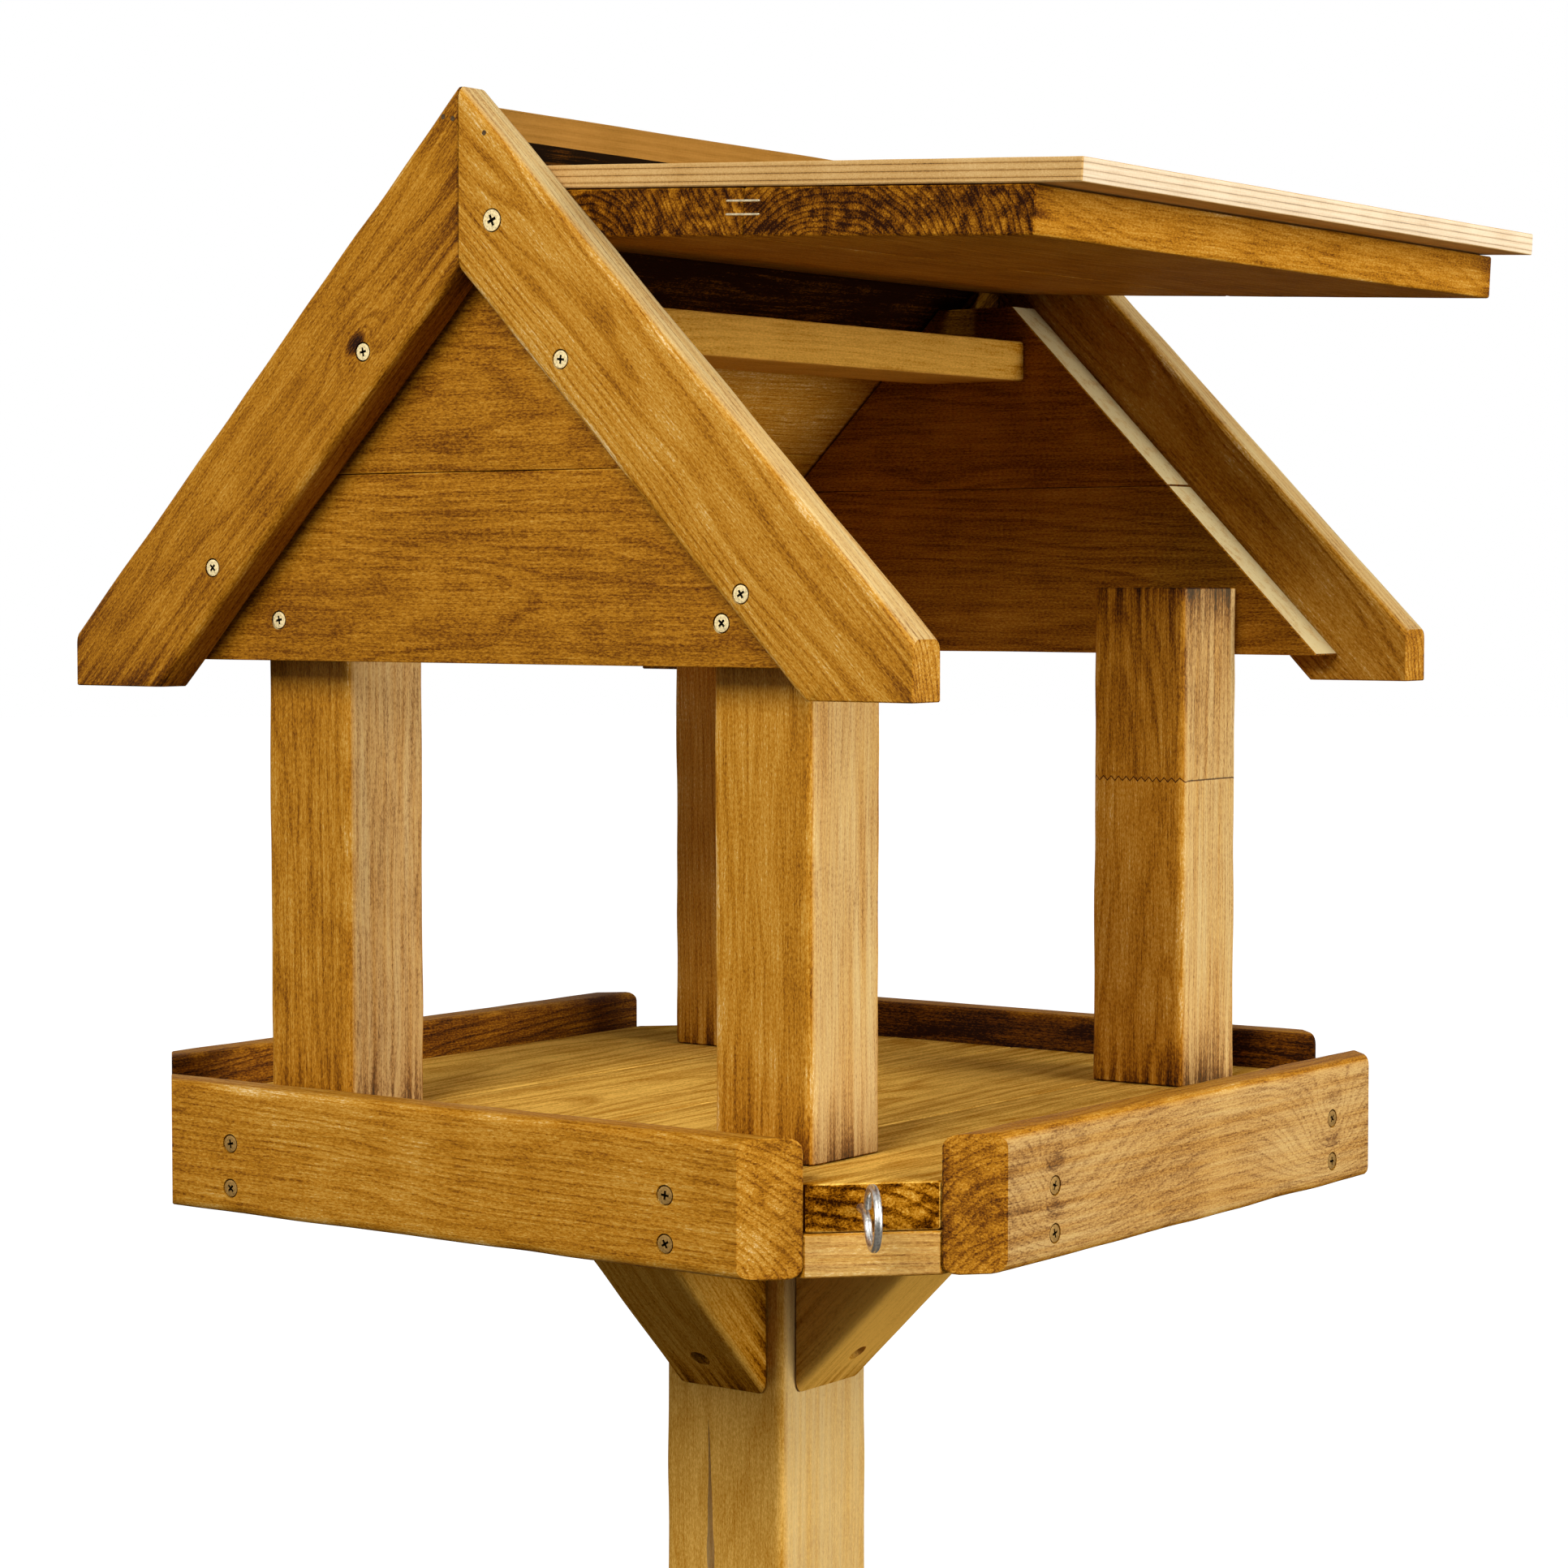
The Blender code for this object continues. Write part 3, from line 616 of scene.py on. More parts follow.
# ---- rim boards ----
# Four planed boards round the tray, standing above the floor as a lip. Their ends are sawn at 45 degrees
# and every long arris is rounded. Each is held by two pairs of countersunk screws.

SCREW_HEAD_RADIUS = 0.0034
# a screw's seat as (radius, height): the pilot hole, then the countersink, open a little past the face
SCREW_SEAT = [(0.0012, -0.0062), (0.0016, -0.0038), (SCREW_HEAD_RADIUS + 0.0005, -0.0010),
              (SCREW_HEAD_RADIUS + 0.0006, 0.002)]
RIM_SCREW_OUT = 0.110                        # from the rim's middle
RIM_SCREW_HEIGHTS = (-0.0065, -0.0245)       # from the tray's top

# each rim's way out, tone, figure, seed, heart and knots; the right one has two wide knots that only bend
# the grain, and four small ones where the screws have bruised it
rims = {"front": (Vector((0, -1, 0)), 0.53, 0.35, 41, (-40, 50), ()),
        "right": (Vector((1, 0, 0)), 0.47, 0.3, 42, (-44, 50),
                  ((-92, -4, 15, 0.0), (104, -2, 10, 0.06), (-110, 11.5, 4.2, 0.16), (-110, -6.5, 4.2, 0.16),
                   (110, 11.5, 4.2, 0.16), (110, -6.5, 4.2, 0.16))),
        "rear": (Vector((0, 1, 0)), 0.50, 0.45, 43, (20, 40), ()),
        "left": (Vector((-1, 0, 0)), 0.50, 0.45, 44, (-20, 40), ())}
# how much darker each inner face is painted, as painted shade inside the tray, and the two places through
# the board, in mm outwards from its middle, between which the painted shade deepens
RIM_INNER_SHADE = {"front": 0.1, "right": 0.1, "rear": 0.42, "left": 0.26}
RIM_SHADE_FROM, RIM_SHADE_TO = -4.5, -8.5
rim_screws = []
for side, (out, tone, figure, seed, heart, knots) in rims.items():
    name = "rim_" + side
    low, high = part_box(name)
    along = Vector((0, 0, 1)).cross(out)
    inner = abs((high if out.x + out.y < 0 else low).dot(out))
    outer = abs((low if out.x + out.y < 0 else high).dot(out))
    cuts = []
    for sign in (-1, 1):
        cuts.append((out * inner + along * sign * rim_end, out + along * sign))
    tools = []
    for sign in (-1, 1):
        for height in RIM_SCREW_HEIGHTS:
            spot = out * outer + along * sign * RIM_SCREW_OUT
            spot.z = tray_top + height
            rim_screws.append((name, spot, out))
            tools.append(drilled(spot, out, SCREW_SEAT))
    # the right rim's outer face, turned to the lights, is painted paler as a painted sheen
    timber(name, along, (0, 0, 1),
           stained_softwood("stained_pine_" + name, tone=tone, seed=seed, heart=heart, ring_gap=2.8,
                            figure=figure, knots=knots, end_tone=0.06,
                            end_dark=-0.02 if side == "front" else 0.08,
                            painted_shade=(2, RIM_SHADE_FROM, RIM_SHADE_TO, RIM_INNER_SHADE[side]), lit_side=(0, 0, 1),
                            painted_sheen=0.3 if side == "right" else 0.0), cuts=cuts, ease=0.0042, tools=tools)


# ---- posts ----
# Four uprights of planed square stock, screwed up through the floor. The rear right one is finger-jointed
# from two lengths, and all four took more stain near their ends.

# each post's tone, seed, heart, ring gap and figure, and where its finger joint lies in mm
posts = {"front_right": (0.54, 51, (30, 46), 2.8, 0.3, None),
         "front_left": (0.48, 52, (-34, 40), 3.2, 0.3, None),
         "rear_right": (0.54, 53, (16, 46), 2.6, 0.35, 24.0),
         "rear_left": (0.58, 54, (36, -30), 3.0, 0.3, None)}
for place_name, (tone, seed, heart, ring_gap, figure, joint) in posts.items():
    # each post's right-hand face, turned to the lights, is painted paler as a painted sheen
    timber("post_" + place_name, (0, 0, 1), (1, 0, 0),
           stained_softwood("stained_pine_post_" + place_name, tone=tone, seed=seed, heart=heart,
                            ring_gap=ring_gap, figure=figure, joint=joint, painted_sheen=0.4,
                            streaks=1.1 if joint else 1.0), ease=0.0044)


# ---- gables ----
# Two boards to each gable, edge to edge with their grain level, sawn to the roof's slope and cut flat on
# top so the lid's head can swing. Screws go through them into the post tops.

GABLE_SCREW_OUT, GABLE_SCREW_UP = 0.112, 0.203       # from the gable's middle, and above the tray
# the gables' right-hand sloping edge is painted pale along this direction, a painted highlight where the
# lights catch it
SAWN_SLOPE = (0.7071, 0.7071, 0.0)                   # the right-hand sloping edge, in the board's own axes
gable_screws = []
for end, y_sign in (("front", -1), ("rear", 1)):
    for part in ("lower", "upper"):
        name = "gable_%s_%s" % (end, part)
        low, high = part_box(name)
        face_y = low.y if y_sign < 0 else high.y
        cuts = [((high.x, 0, low.z), (1, 0, 1)), ((low.x, 0, low.z), (-1, 0, 1))]
        tools = []
        if part == "lower":
            for sign in (-1, 1):
                spot = Vector((sign * GABLE_SCREW_OUT, face_y, tray_top + GABLE_SCREW_UP))
                gable_screws.append((name, spot, Vector((0, y_sign, 0))))
                tools.append(drilled(spot, (0, y_sign, 0), SCREW_SEAT))
        timber(name, (1, 0, 0), (0, 0, 1),
               stained_softwood("stained_pine_" + name, tone=0.39,
                                seed=61 + y_sign + (3 if part == "upper" else 0), heart=(-18, 60),
                                ring_gap=3.4, figure=0.28, streaks=0.9, end_tone=0.0, painted_sheen=1.0,
                                lit_side=SAWN_SLOPE, lift=0.32),
               cuts=cuts, ease=0.0005, tools=tools,
               meet=(0.0, CLOSED) if part == "lower" else (CLOSED, 0.0))


# ---- barge boards ----
# Two boards on each gable, mitred plumb at the top, their tips cut plumb outside and level below, with
# rounded arrises. The right-hand one of each pair carries the roof's pivot screw.

# the screws' places as (x, height above the tray), and the pivot screw's seat as (radius, height)
BARGE_SCREWS = {"right": ((0.0504, 0.3017), (0.1344, 0.2139)), "left": ((-0.0490, 0.3080), (-0.1311, 0.2241))}
PIVOT_SEAT = [(0.0027, -0.030), (0.0027, -0.0042), (0.0046, -0.0004), (0.0047, 0.003)]
hinge = frame["joints"][0]
pivot = Vector(hinge["pos_m"])
barge_screws = []
for end, y_sign in (("front", -1), ("rear", 1)):
    for side, x_sign in (("left", -1), ("right", 1)):
        name = "barge_%s_%s" % (end, side)
        low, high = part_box(name)
        face_y = low.y if y_sign < 0 else high.y
        tip = high.x if x_sign > 0 else low.x
        root = low.x if x_sign > 0 else high.x
        cuts = [((root, 0, 0), (-x_sign, 0, 0)), ((tip, 0, 0), (x_sign, 0, 0)), ((0, 0, low.z), (0, 0, -1))]
        tools = []
        for x, height in BARGE_SCREWS[side]:
            spot = Vector((x, face_y, tray_top + height))
            barge_screws.append((name, spot, Vector((0, y_sign, 0))))
            tools.append(drilled(spot, (0, y_sign, 0), SCREW_SEAT))
        if side == "right":
            tools.append(drilled((pivot.x, face_y, pivot.z), (0, y_sign, 0), PIVOT_SEAT))
        grain = Vector((x_sign, 0, -1)).normalized()
        face = Vector((x_sign, 0, 1)).normalized()
        lie = Matrix((grain, face, grain.cross(face))).to_euler()
        torn_knot = ((-51, -6, 3.6, 0.42),) if name == "barge_front_left" else ()
        # the top sloping face is painted paler as a painted sheen
        timber(name, grain, face,
               stained_softwood("stained_pine_" + name, tone=0.57 if side == "right" else 0.45,
                                seed=71 + x_sign + 2 * y_sign, heart=(6, 36), ring_gap=2.5,
                                figure=0.5 if side == "right" else 0.3, knots=torn_knot,
                                end_tone=0.06 if side == "right" else 0.16,
                                end_dark=0.06 if side == "right" else 0.2,
                                lie=lie, painted_sheen=0.5), cuts=cuts,
               ease=0.0036, tools=tools, squared=True)


# ---- ridge rail ----
# A flat board on edge under the ridge, gable to gable, that ties the two gables together.

timber("ridge_rail", (0, 1, 0), (1, 0, 0),
       stained_softwood("stained_pine_rail", tone=0.79, seed=81, heart=(40, 22), ring_gap=3.0, figure=0.3,
                        gloss=0.0, palest="DDA446"),
       ease=0.0016)


# ---- roof sides ----
# Each side is two planks under one sheet of plywood that oversails them at the eave. The left side is
# fixed; the right side turns on its two pivot screws and stands open, a little below level.

drop = radians(2.9)        # the open lid hangs this far below level
lid_out = Vector((cos(drop), 0, -sin(drop)))
lid_up = Vector((sin(drop), 0, cos(drop)))
fixed_down = Vector((-1, 0, -1)).normalized()
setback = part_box("fixed_roof_plank_upper")[1].x
ply_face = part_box("fixed_roof_ply")[1].x

# birch plywood from dark to pale: its edge raw or stained, its stained faces, whose darkest colour serves
# the painted shade underneath, and the painted highlight on the edge turned to the lights
RAW_EDGE = ("3E2408", "B18445", "D8B478")
STAINED_EDGE = ("4A2604", "8E6119", "AA7830")
FACE_STAIN = ("1C0E02", "7C4A10", "AE7826", "D0A058")
PAINTED_HIGHLIGHT_BIRCH = "E8DAC0"


def faced_plywood(name, sheet_seed, edge_stain, glue_line, edge_highlight, shade_side):
    """Birch-faced plywood, seven veneers, edges left as sawn.

    The eye gets pale layers that alternate along and across in the edge, and a broad rotary-cut figure on
    the faces. Edge_stain is the edge's colours from dark to pale, glue_line how dark the glue lines are and
    the weathered argument how far the edge at the slope's low end, turned to the lights, is painted pale as a
    painted highlight. Shade_side is -1 for a sheet whose underside is painted dark as painted shade, or 0.
    """
    ply = bpy.data.materials.new(name)
    ply.use_nodes = True
    tree = ply.node_tree
    shader = tree.nodes["Principled BSDF"]
    here = add_node(tree, "ShaderNodeTexCoord", {}, "Object")
    mm = add_node(tree, "ShaderNodeVectorMath", {0: here, "Scale": 1000.0}, operation="SCALE")
    spot = add_node(tree, "ShaderNodeVectorMath", {0: mm, 1: (sheet_seed * 97.0, 31.0, 7.0)}, operation="ADD")
    parts = tree.nodes.new("ShaderNodeSeparateXYZ")
    tree.links.new(mm, parts.inputs[0])
    # veneers 1.3 mm thick with a dark glue line between them
    veneer = add_node(tree, "ShaderNodeMath", {0: parts.outputs[2], 1: 1.29}, operation="PINGPONG")
    glue = add_node(tree, "ShaderNodeMapRange", {"Value": veneer, 1: 0.0, 2: 0.3, 3: glue_line, 4: 0.0})
    cross = add_node(tree, "ShaderNodeMath", {0: veneer, 1: 0.65}, operation="GREATER_THAN")
    fibre_at = add_node(tree, "ShaderNodeVectorMath", {0: spot, 1: (1 / 18, 1 / 0.7, 1 / 0.5)},
                        operation="MULTIPLY")
    fibre = add_node(tree, "ShaderNodeTexNoise", {"Vector": fibre_at, "Scale": 1.0, "Detail": 3.0}, "Fac")
    blotch = add_node(tree, "ShaderNodeTexNoise", {"Vector": spot, "Scale": 1 / 22, "Detail": 2.0}, "Fac")
    fuzz = add_node(tree, "ShaderNodeTexNoise", {"Vector": spot, "Scale": 1.1, "Detail": 2.0}, "Fac")
    facing = add_node(tree, "ShaderNodeTexCoord", {}, "Normal")
    flat = add_node(tree, "ShaderNodeVectorMath", {0: facing, 1: (0.0, 0.0, 1.0)}, "Value",
                    operation="DOT_PRODUCT")
    flat = add_node(tree, "ShaderNodeMath", {0: flat}, operation="ABSOLUTE")
    skin = add_node(tree, "ShaderNodeMapRange", {"Value": flat, 1: 0.78, 2: 0.95, 3: 0.0, 4: 1.0})
    # painted shade: with shade_side at -1 the sheet's underside is painted dark
    under = add_node(tree, "ShaderNodeVectorMath", {0: facing, 1: (0.0, 0.0, shade_side)}, "Value",
                     operation="DOT_PRODUCT")
    under = add_node(tree, "ShaderNodeMapRange", {"Value": under, 1: 0.8, 2: 0.95, 3: 0.05, 4: -0.75})
    # rotary-cut figure in the outer veneer: broad bands 9 mm wide that run the sheet's length
    band_at = add_node(tree, "ShaderNodeVectorMath", {0: spot, 1: (1 / 150, 1 / 9, 1 / 9)},
                       operation="MULTIPLY")
    band = add_node(tree, "ShaderNodeTexNoise", {"Vector": band_at, "Scale": 1.0, "Detail": 4.0,
                                                 "Roughness": 0.6, "Distortion": 0.8}, "Fac")
    band = add_node(tree, "ShaderNodeMapRange", {"Value": band, 1: 0.3, 2: 0.7, 3: -0.3, 4: 0.3})
    band = add_node(tree, "ShaderNodeMath", {0: band, 1: skin}, operation="MULTIPLY")
    level = under
    for source, share in ((fibre, 0.5), (blotch, 0.35), (fuzz, 0.3), (cross, 0.10), (band, 1.0)):
        level = add_node(tree, "ShaderNodeMath", {0: source, 1: share, 2: level}, operation="MULTIPLY_ADD")
    edge_level = add_node(tree, "ShaderNodeMath", {0: level, 1: glue}, operation="SUBTRACT")
    edge = tree.nodes.new("ShaderNodeValToRGB")
    tree.links.new(edge_level, edge.inputs[0])
    edge.color_ramp.elements[0].color = colour(edge_stain[0])
    edge.color_ramp.elements[1].color = colour(edge_stain[2])
    edge.color_ramp.elements.new(0.5).color = colour(edge_stain[1])
    face = tree.nodes.new("ShaderNodeValToRGB")
    tree.links.new(level, face.inputs[0])
    face.color_ramp.elements[0].color = colour(FACE_STAIN[0])
    face.color_ramp.elements[1].color = colour(FACE_STAIN[3])
    face.color_ramp.elements.new(0.28).color = colour(FACE_STAIN[1])
    face.color_ramp.elements.new(0.5).color = colour(FACE_STAIN[2])
    tint = add_node(tree, "ShaderNodeMix", {0: skin, 6: edge.outputs[0], 7: face.outputs[0]}, 2,
                    data_type="RGBA")
    # painted highlight: the edge at the low end of the slope, turned to the lights, is painted pale
    painted_edge_highlight = add_node(tree, "ShaderNodeVectorMath", {0: facing, 1: (0.0, 1.0, 0.0)}, "Value",
                      operation="DOT_PRODUCT")
    painted_edge_highlight = add_node(tree, "ShaderNodeMapRange", {"Value": painted_edge_highlight, 1: 0.75, 2: 0.97, 3: 0.0, 4: edge_highlight})
    streaky = add_node(tree, "ShaderNodeMapRange", {"Value": edge_level, 1: 0.3, 2: 0.8, 3: 0.45, 4: 1.1})
    painted_edge_highlight = add_node(tree, "ShaderNodeMath", {0: painted_edge_highlight, 1: streaky}, operation="MULTIPLY")
    tint = add_node(tree, "ShaderNodeMix", {0: painted_edge_highlight, 6: tint, 7: colour(PAINTED_HIGHLIGHT_BIRCH)}, 2, data_type="RGBA")
    tree.links.new(tint, shader.inputs["Base Color"])
    shader.inputs["Roughness"].default_value = 0.6
    shader.inputs["Specular IOR Level"].default_value = 0.15
    bump = add_node(tree, "ShaderNodeBump", {"Strength": 0.5, "Distance": 0.0003, "Height": fibre})
    tree.links.new(bump, shader.inputs["Normal"])
    return ply


PLANK_MEET = 0.00029       # each lower plank grows this much, up to the plank above it
# each plank's way down the slope, body, tone, seed, cut at the ridge, joint and painted shade: the fixed
# side's upper plank is painted darker towards the ridge, as painted shade under the lifted lid
roof = [("fixed_roof_plank_upper", fixed_down, "feeder", 0.62, 91, [((setback, 0, 0), (1, 0, 0))], (0, 0),
         (1, 20, -8, 0.60)),
        ("fixed_roof_plank_lower", fixed_down, "feeder", 0.50, 92, [], (PLANK_MEET, 0), None),
        ("lid_plank_upper", lid_out, "lid", 0.50, 93, [], (0, 0), None),
        ("lid_plank_lower", lid_out, "lid", 0.50, 94, [], (PLANK_MEET, 0), None)]
for name, down, body, tone, seed, extra, meet, painted_shade in roof:
    low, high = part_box(name)
    cuts = [((0, low.y, 0), (0, -1, 0)), ((0, high.y, 0), (0, 1, 0))] + extra
    timber(name, (0, 1, 0), down,
           stained_softwood("stained_pine_" + name, tone=tone, seed=seed, heart=(-30, 44), ring_gap=2.5,
                            figure=0.3, end_tone=0.12, gloss=0.04, painted_shade=painted_shade),
           cuts=cuts, ease=0.0011, body=body, meet=meet)
# the fixed sheet gets painted shade underneath, and the lid's low edge a painted highlight
fixed_ply = faced_plywood("birch_fixed_roof_ply", 8, STAINED_EDGE, 0.06, 0.0, -1.0)
lid_ply = faced_plywood("birch_lid_ply", 3, RAW_EDGE, 0.5, 0.6, 0.0)
for name, down, body, plywood, extra in (
        ("fixed_roof_ply", fixed_down, "feeder", fixed_ply, [((ply_face, 0, 0), (1, 0, 0))]),
        ("lid_ply", lid_out, "lid", lid_ply, [])):
    low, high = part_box(name)
    cuts = [((0, low.y, 0), (0, -1, 0)), ((0, high.y, 0), (0, 1, 0))] + extra
    timber(name, (0, 1, 0), down, plywood, cuts=cuts, ease=0.0006, body=body)


# ---- screws ----
# Yellow-passivated countersunk wood screws with a cross recess, driven flush. The two pivot screws are
# the same kind, a size larger, and turn with the lid.

YELLOW_ZINC, DULLED_ZINC = "F2DCA6", "B0894C"
# each screw's head radius, shank radius and length; its head's face lies SUNK below the wood
WOOD_SCREW = (SCREW_HEAD_RADIUS, 0.0014, 0.030)
PIVOT_SCREW = (0.0042, 0.00235, 0.050)
SUNK, PIVOT_SUNK, BRACE_SUNK = 0.0002, 0.0001, 0.0112


def zinc_plated_steel(name, tint, shine):
    """Zinc plate over steel: a tinted metal with a faint mottle and soft highlights, and painted shade in its
    recess.
    """
    plate = bpy.data.materials.new(name)
    plate.use_nodes = True
    tree = plate.node_tree
    shader = tree.nodes["Principled BSDF"]
    here = add_node(tree, "ShaderNodeTexCoord", {}, "Object")
    mottle = add_node(tree, "ShaderNodeTexNoise", {"Vector": here, "Scale": 900.0, "Detail": 2.0}, "Fac")
    tone = tree.nodes.new("ShaderNodeValToRGB")
    tree.links.new(mottle, tone.inputs[0])
    tone.color_ramp.elements[0].color = [c * 0.55 for c in colour(tint)[:3]] + [1]
    tone.color_ramp.elements[1].color = colour(tint)
    tone.color_ramp.elements[0].position = 0.3
    tone.color_ramp.elements[1].position = 0.6
    # painted shade in the recess, below the head's face
    parts = tree.nodes.new("ShaderNodeSeparateXYZ")
    tree.links.new(here, parts.inputs[0])
    recess_shade = add_node(tree, "ShaderNodeMapRange", {"Value": parts.outputs[2], 1: -0.0005, 2: -0.00015, 3: 0.06,
                                                  4: 1.0})
    worn = add_node(tree, "ShaderNodeVectorMath", {0: tone.outputs[0], "Scale": recess_shade}, operation="SCALE")
    tree.links.new(worn, shader.inputs["Base Color"])
    shader.inputs["Metallic"].default_value = 1.0
    shader.inputs["Roughness"].default_value = shine
    bump = add_node(tree, "ShaderNodeBump", {"Strength": 0.3, "Distance": 0.00005, "Height": mottle})
    tree.links.new(bump, shader.inputs["Normal"])
    return plate


def cross_head_screw(name, head, shank, length, material):
    """Mesh of one screw along -Z, its head's face at zero, with a tapered cross recess."""
    shape = turned([(shank * 0.15, -length), (shank, -length + 3 * shank), (shank, -head * 0.95),
                    (head, -0.0004), (head * 0.97, -0.00008), (head * 0.7, 0.0)], 32)
    body = linked(name + "_blank", as_mesh(shape, name))
    cross = bmesh.new()
    arm, half = head * 0.60, head * 0.16
    outline = [(arm, half), (half, half), (half, arm), (-half, arm), (-half, half), (-arm, half),
               (-arm, -half), (-half, -half), (-half, -arm), (half, -arm), (half, -half), (arm, -half)]
    top = [cross.verts.new((x, y, 0.001)) for x, y in outline]
    low = [cross.verts.new((x * 0.55, y * 0.7, -head * 0.5)) for x, y in outline]
    for k in range(len(outline)):
        j = (k + 1) % len(outline)
        cross.faces.new((top[k], top[j], low[j], low[k]))
    cross.faces.new(top)
    cross.faces.new(low)
    cut_out(body, [cross])
    made = body.data
    made.name = name
    made.polygons.foreach_set("use_smooth", [True] * len(made.polygons))
    made.set_sharp_from_angle(angle=radians(35))
    made.materials.clear()
    made.materials.append(material)
    bpy.data.objects.remove(body)
    return made


def drive(name, mesh, at, out, turn, sunk, body):
    """Sets a screw, nail or staple in the wood, its head facing out and sunk below the face."""
    screw = linked(name, mesh)
    face = Vector(out).to_track_quat("Z", "Y").to_matrix().to_4x4()
    place = Matrix.Translation(Vector(at) - Vector(out) * sunk)
    screw.matrix_world = place @ face @ Matrix.Rotation(turn, 4, "Z")
    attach(screw, body)
    return screw


yellow_zinc = zinc_plated_steel("yellow_zinc_screws", YELLOW_ZINC, 0.5)
wood_screw = cross_head_screw("wood_screw", *WOOD_SCREW, yellow_zinc)
dulled_screw = cross_head_screw("rim_screw", *WOOD_SCREW,
                                zinc_plated_steel("stain_dulled_zinc", DULLED_ZINC, 0.55))
for group, kind in ((rim_screws, dulled_screw), (gable_screws, wood_screw), (barge_screws, wood_screw)):
    for index, (node, at, out) in enumerate(group):
        drive("%s_screw_%d" % (node, index + 1), kind, at, out, radians(37 * index + 10), SUNK, "feeder")
for index, (node, at, out) in enumerate(brace_screws):
    drive(node + "_screw", wood_screw, at, out, 0.3 + index, BRACE_SUNK, "feeder")
pivot_mesh = cross_head_screw("pivot_screw", *PIVOT_SCREW, yellow_zinc)
for end, y_sign in (("front", -1), ("rear", 1)):
    node = "pivot_screw_" + end
    low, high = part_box(node)
    head_y = low.y if y_sign < 0 else high.y
    screw = drive(node + "_turned", pivot_mesh, (pivot.x, head_y, pivot.z), (0, y_sign, 0), radians(22),
                  PIVOT_SUNK, "lid")
    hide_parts(node)


# ---- nails and joint staples ----
# Three thin nails near the roof's peak, punched just under the surface, and wire staples driven across the
# joint between the lid's two planks, two at each end, their crowns flush with the end grain.

NAIL_STEEL, STAPLE_ZINC = "5E4A34", "F6E6BE"
NAILS = ((-0.0070, 0.396), (-0.0022, 0.395), (0.0135, 0.3885))       # x, and height above the tray
NAIL_SUNK = 0.00002
STAPLE_WIRE, STAPLE_CROWN, STAPLE_GAP = 0.0005, 0.0160, 0.0050       # radius, length and spacing
STAPLE_IN, STAPLE_UP = 0.0005, 0.0090        # from the end and from the lower face of the upper plank
STAPLE_LOWER = 0.0010                        # and lowered this much along the plank's own upright
dull_steel = zinc_plated_steel("dull_steel_nails", NAIL_STEEL, 0.6)
shape = turned([(0.0002, -0.016), (0.0007, -0.014), (0.0008, -0.0006), (0.0011, -0.0003), (0.0010, 0.0)], 16)
nail = as_mesh(shape, "punched_nail")
nail.materials.append(dull_steel)
for index, (x, height) in enumerate(NAILS):
    at = (x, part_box("barge_front_left")[0].y, tray_top + height)
    drive("barge_nail_%d" % (index + 1), nail, at, (0, -1, 0), 0.0, NAIL_SUNK, "feeder")
half = STAPLE_CROWN / 2
shape = turned([(0.0001, -half), (STAPLE_WIRE * 0.8, 0.0004 - half), (STAPLE_WIRE, 0.001 - half),
                (STAPLE_WIRE, half - 0.001), (STAPLE_WIRE * 0.8, half - 0.0004), (0.0001, half)], 12)
bmesh.ops.rotate(shape, verts=shape.verts, matrix=Matrix.Rotation(radians(90), 3, "Y"))
crown = as_mesh(shape, "staple_crown")
crown.materials.append(zinc_plated_steel("staple_wire", STAPLE_ZINC, 0.4))
inner_low, inner_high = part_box("lid_plank_upper")
for end, y_sign in (("front", -1), ("rear", 1)):
    face_y = inner_low.y if y_sign < 0 else inner_high.y
    joint = Vector((inner_high.x - STAPLE_IN, face_y, inner_low.z + STAPLE_UP))
    for index, rise in enumerate((0.0, STAPLE_GAP)):
        at = joint + lid_up * (rise - STAPLE_LOWER)
        drive("lid_staple_%s_%d" % (end, index + 1), crown, at, (0, y_sign, 0), drop * y_sign, SUNK, "lid")


# ---- screw eye ----
# A bent wire eye with bright zinc plate, driven into the cut corner of the floor to hang a feeder from.
# The wire leaves the wood straight and closes into a ring that stands upright.

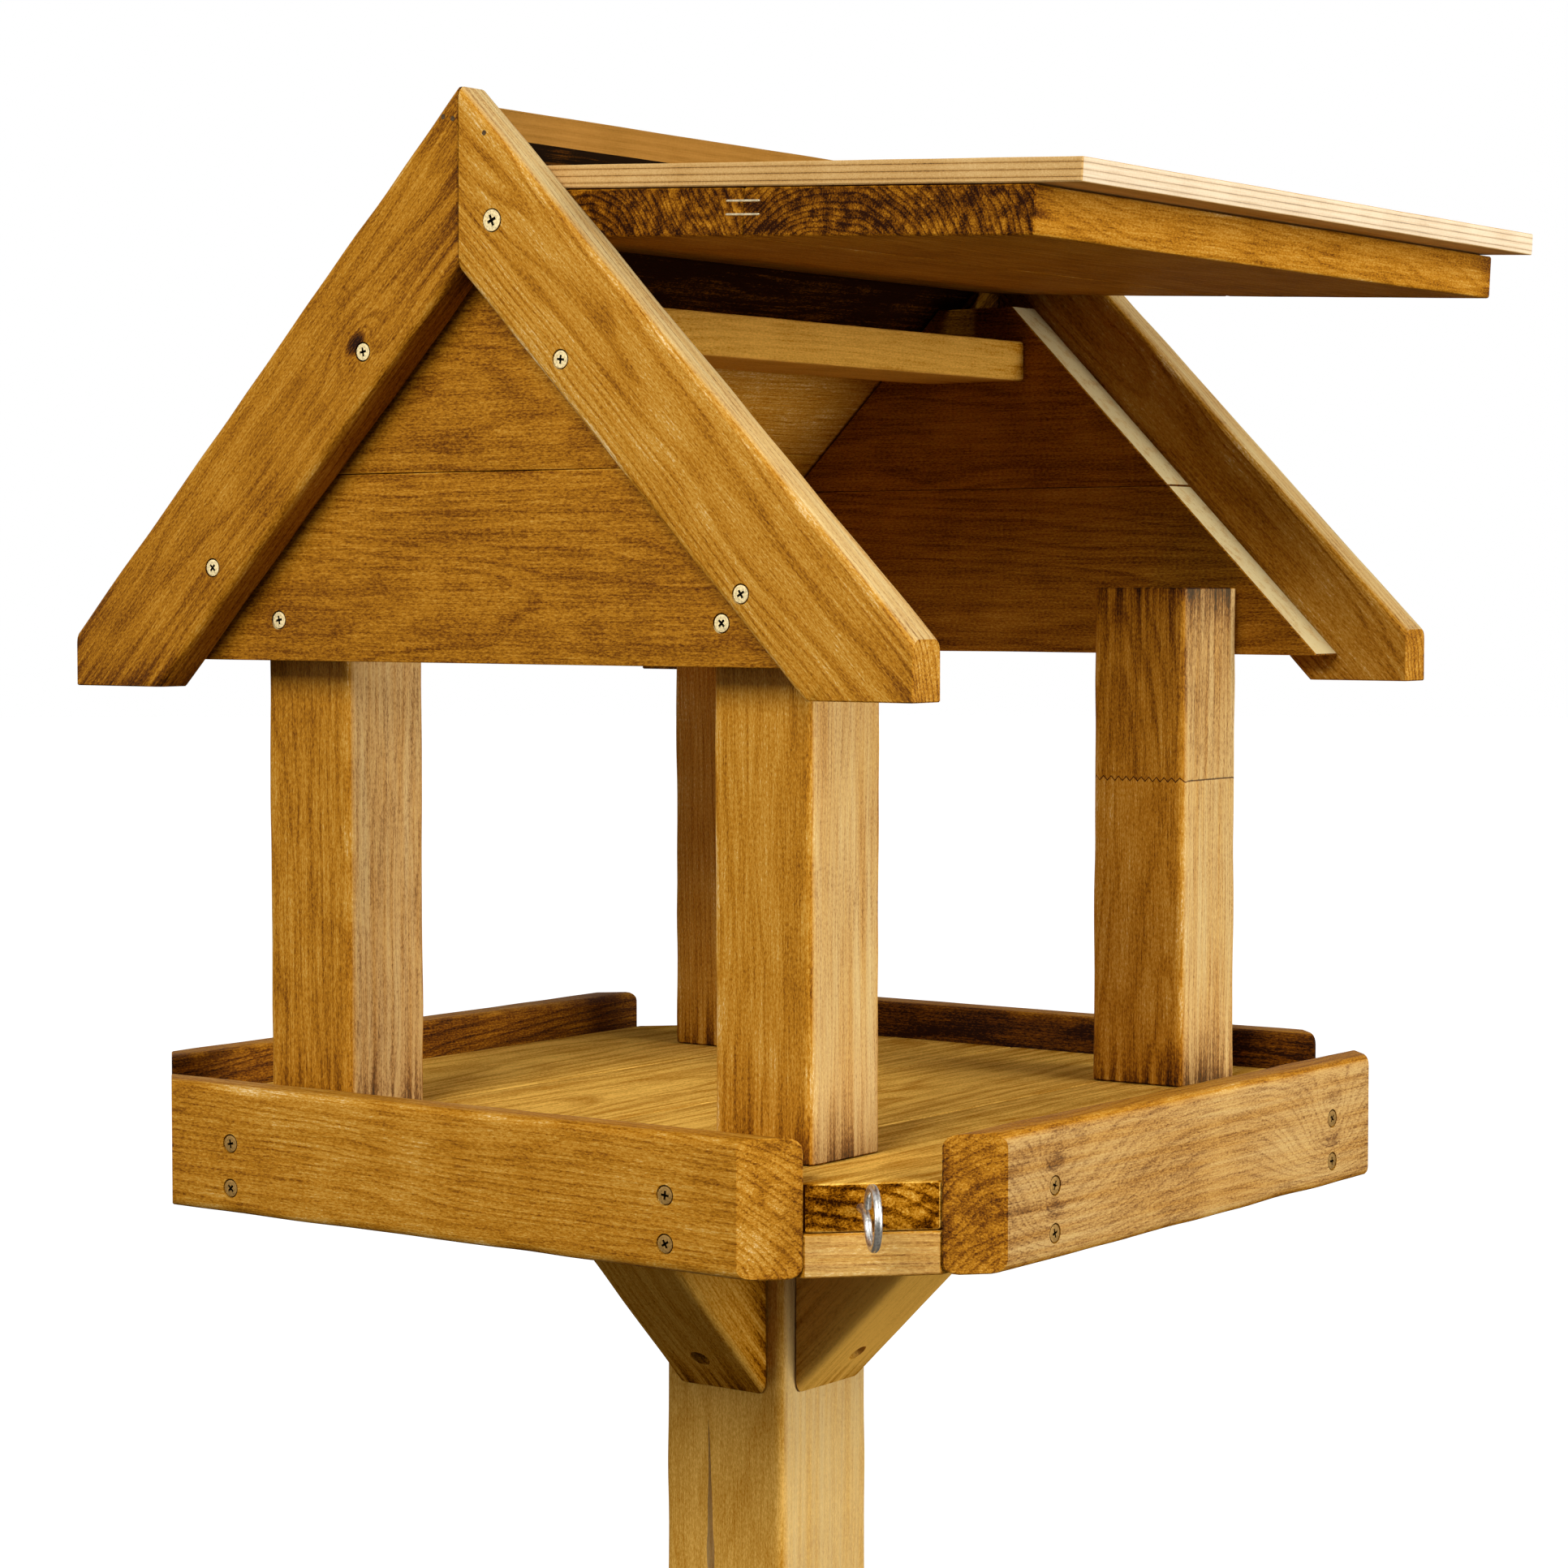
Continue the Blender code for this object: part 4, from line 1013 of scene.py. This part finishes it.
EYE_ZINC = "F6F3EC"
EYE_WIRE, EYE_RING = 0.0031, 0.0108          # the wire's diameter and the ring's radius
EYE_SNUG = 0.995                             # keeps the wire a hair inside the CAD's
EYE_STRAIGHT = (0.004, 0.0085)               # the wire runs straight this far before it bends
EYE_REACH, EYE_IN = 0.0244, 0.012            # from the ring's middle to the wood, and on into it
EYE_SIDES, EYE_STEPS = 24, 72
EYE_START, EYE_TURN = 197, 333               # degrees round the ring
EYE_END = 0.82                               # share of its thickness that the wire keeps at its ends
low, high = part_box("screw_eye")
outward = Vector((1, -1, 0)).normalized()
ring_out = (EYE_RING + EYE_WIRE / 2) * cos(radians(45))
ring_middle = Vector((high.x - ring_out, low.y + ring_out, (low.z + high.z) / 2))
entry = ring_middle - outward * EYE_REACH
path = [entry + outward * ahead for ahead in (-EYE_IN, 0, *EYE_STRAIGHT)]
for step in range(EYE_STEPS + 1):
    turn = radians(EYE_START + EYE_TURN * step / EYE_STEPS)
    path.append(ring_middle + outward * EYE_RING * cos(turn) + Vector((0, 0, EYE_RING * sin(turn))))
shape = bmesh.new()
rings = []
side_way = outward.cross(Vector((0, 0, 1)))
for step, at in enumerate(path):
    run = (path[min(step + 1, len(path) - 1)] - path[max(step - 1, 0)]).normalized()
    lift = side_way.cross(run).normalized()
    narrow = EYE_END if step in (0, len(path) - 1) else 1.0
    thick = EYE_WIRE / 2 * EYE_SNUG * narrow
    turns = [2 * pi * k / EYE_SIDES for k in range(EYE_SIDES)]
    rings.append([shape.verts.new(at + thick * (cos(turn) * lift + sin(turn) * side_way)) for turn in turns])
bridge(shape, rings)
shape.faces.new(rings[0])
shape.faces.new(list(reversed(rings[-1])))
bmesh.ops.recalc_face_normals(shape, faces=shape.faces)
wire = as_mesh(shape, "bent_wire_eye")
wire.polygons.foreach_set("use_smooth", [True] * len(wire.polygons))
wire.set_sharp_from_angle(angle=radians(50))
wire.materials.append(zinc_plated_steel("bright_zinc_eye", EYE_ZINC, 0.34))
eye = linked("screw_eye_wire", wire)
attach(eye, "feeder")
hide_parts("screw_eye")

low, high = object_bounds()
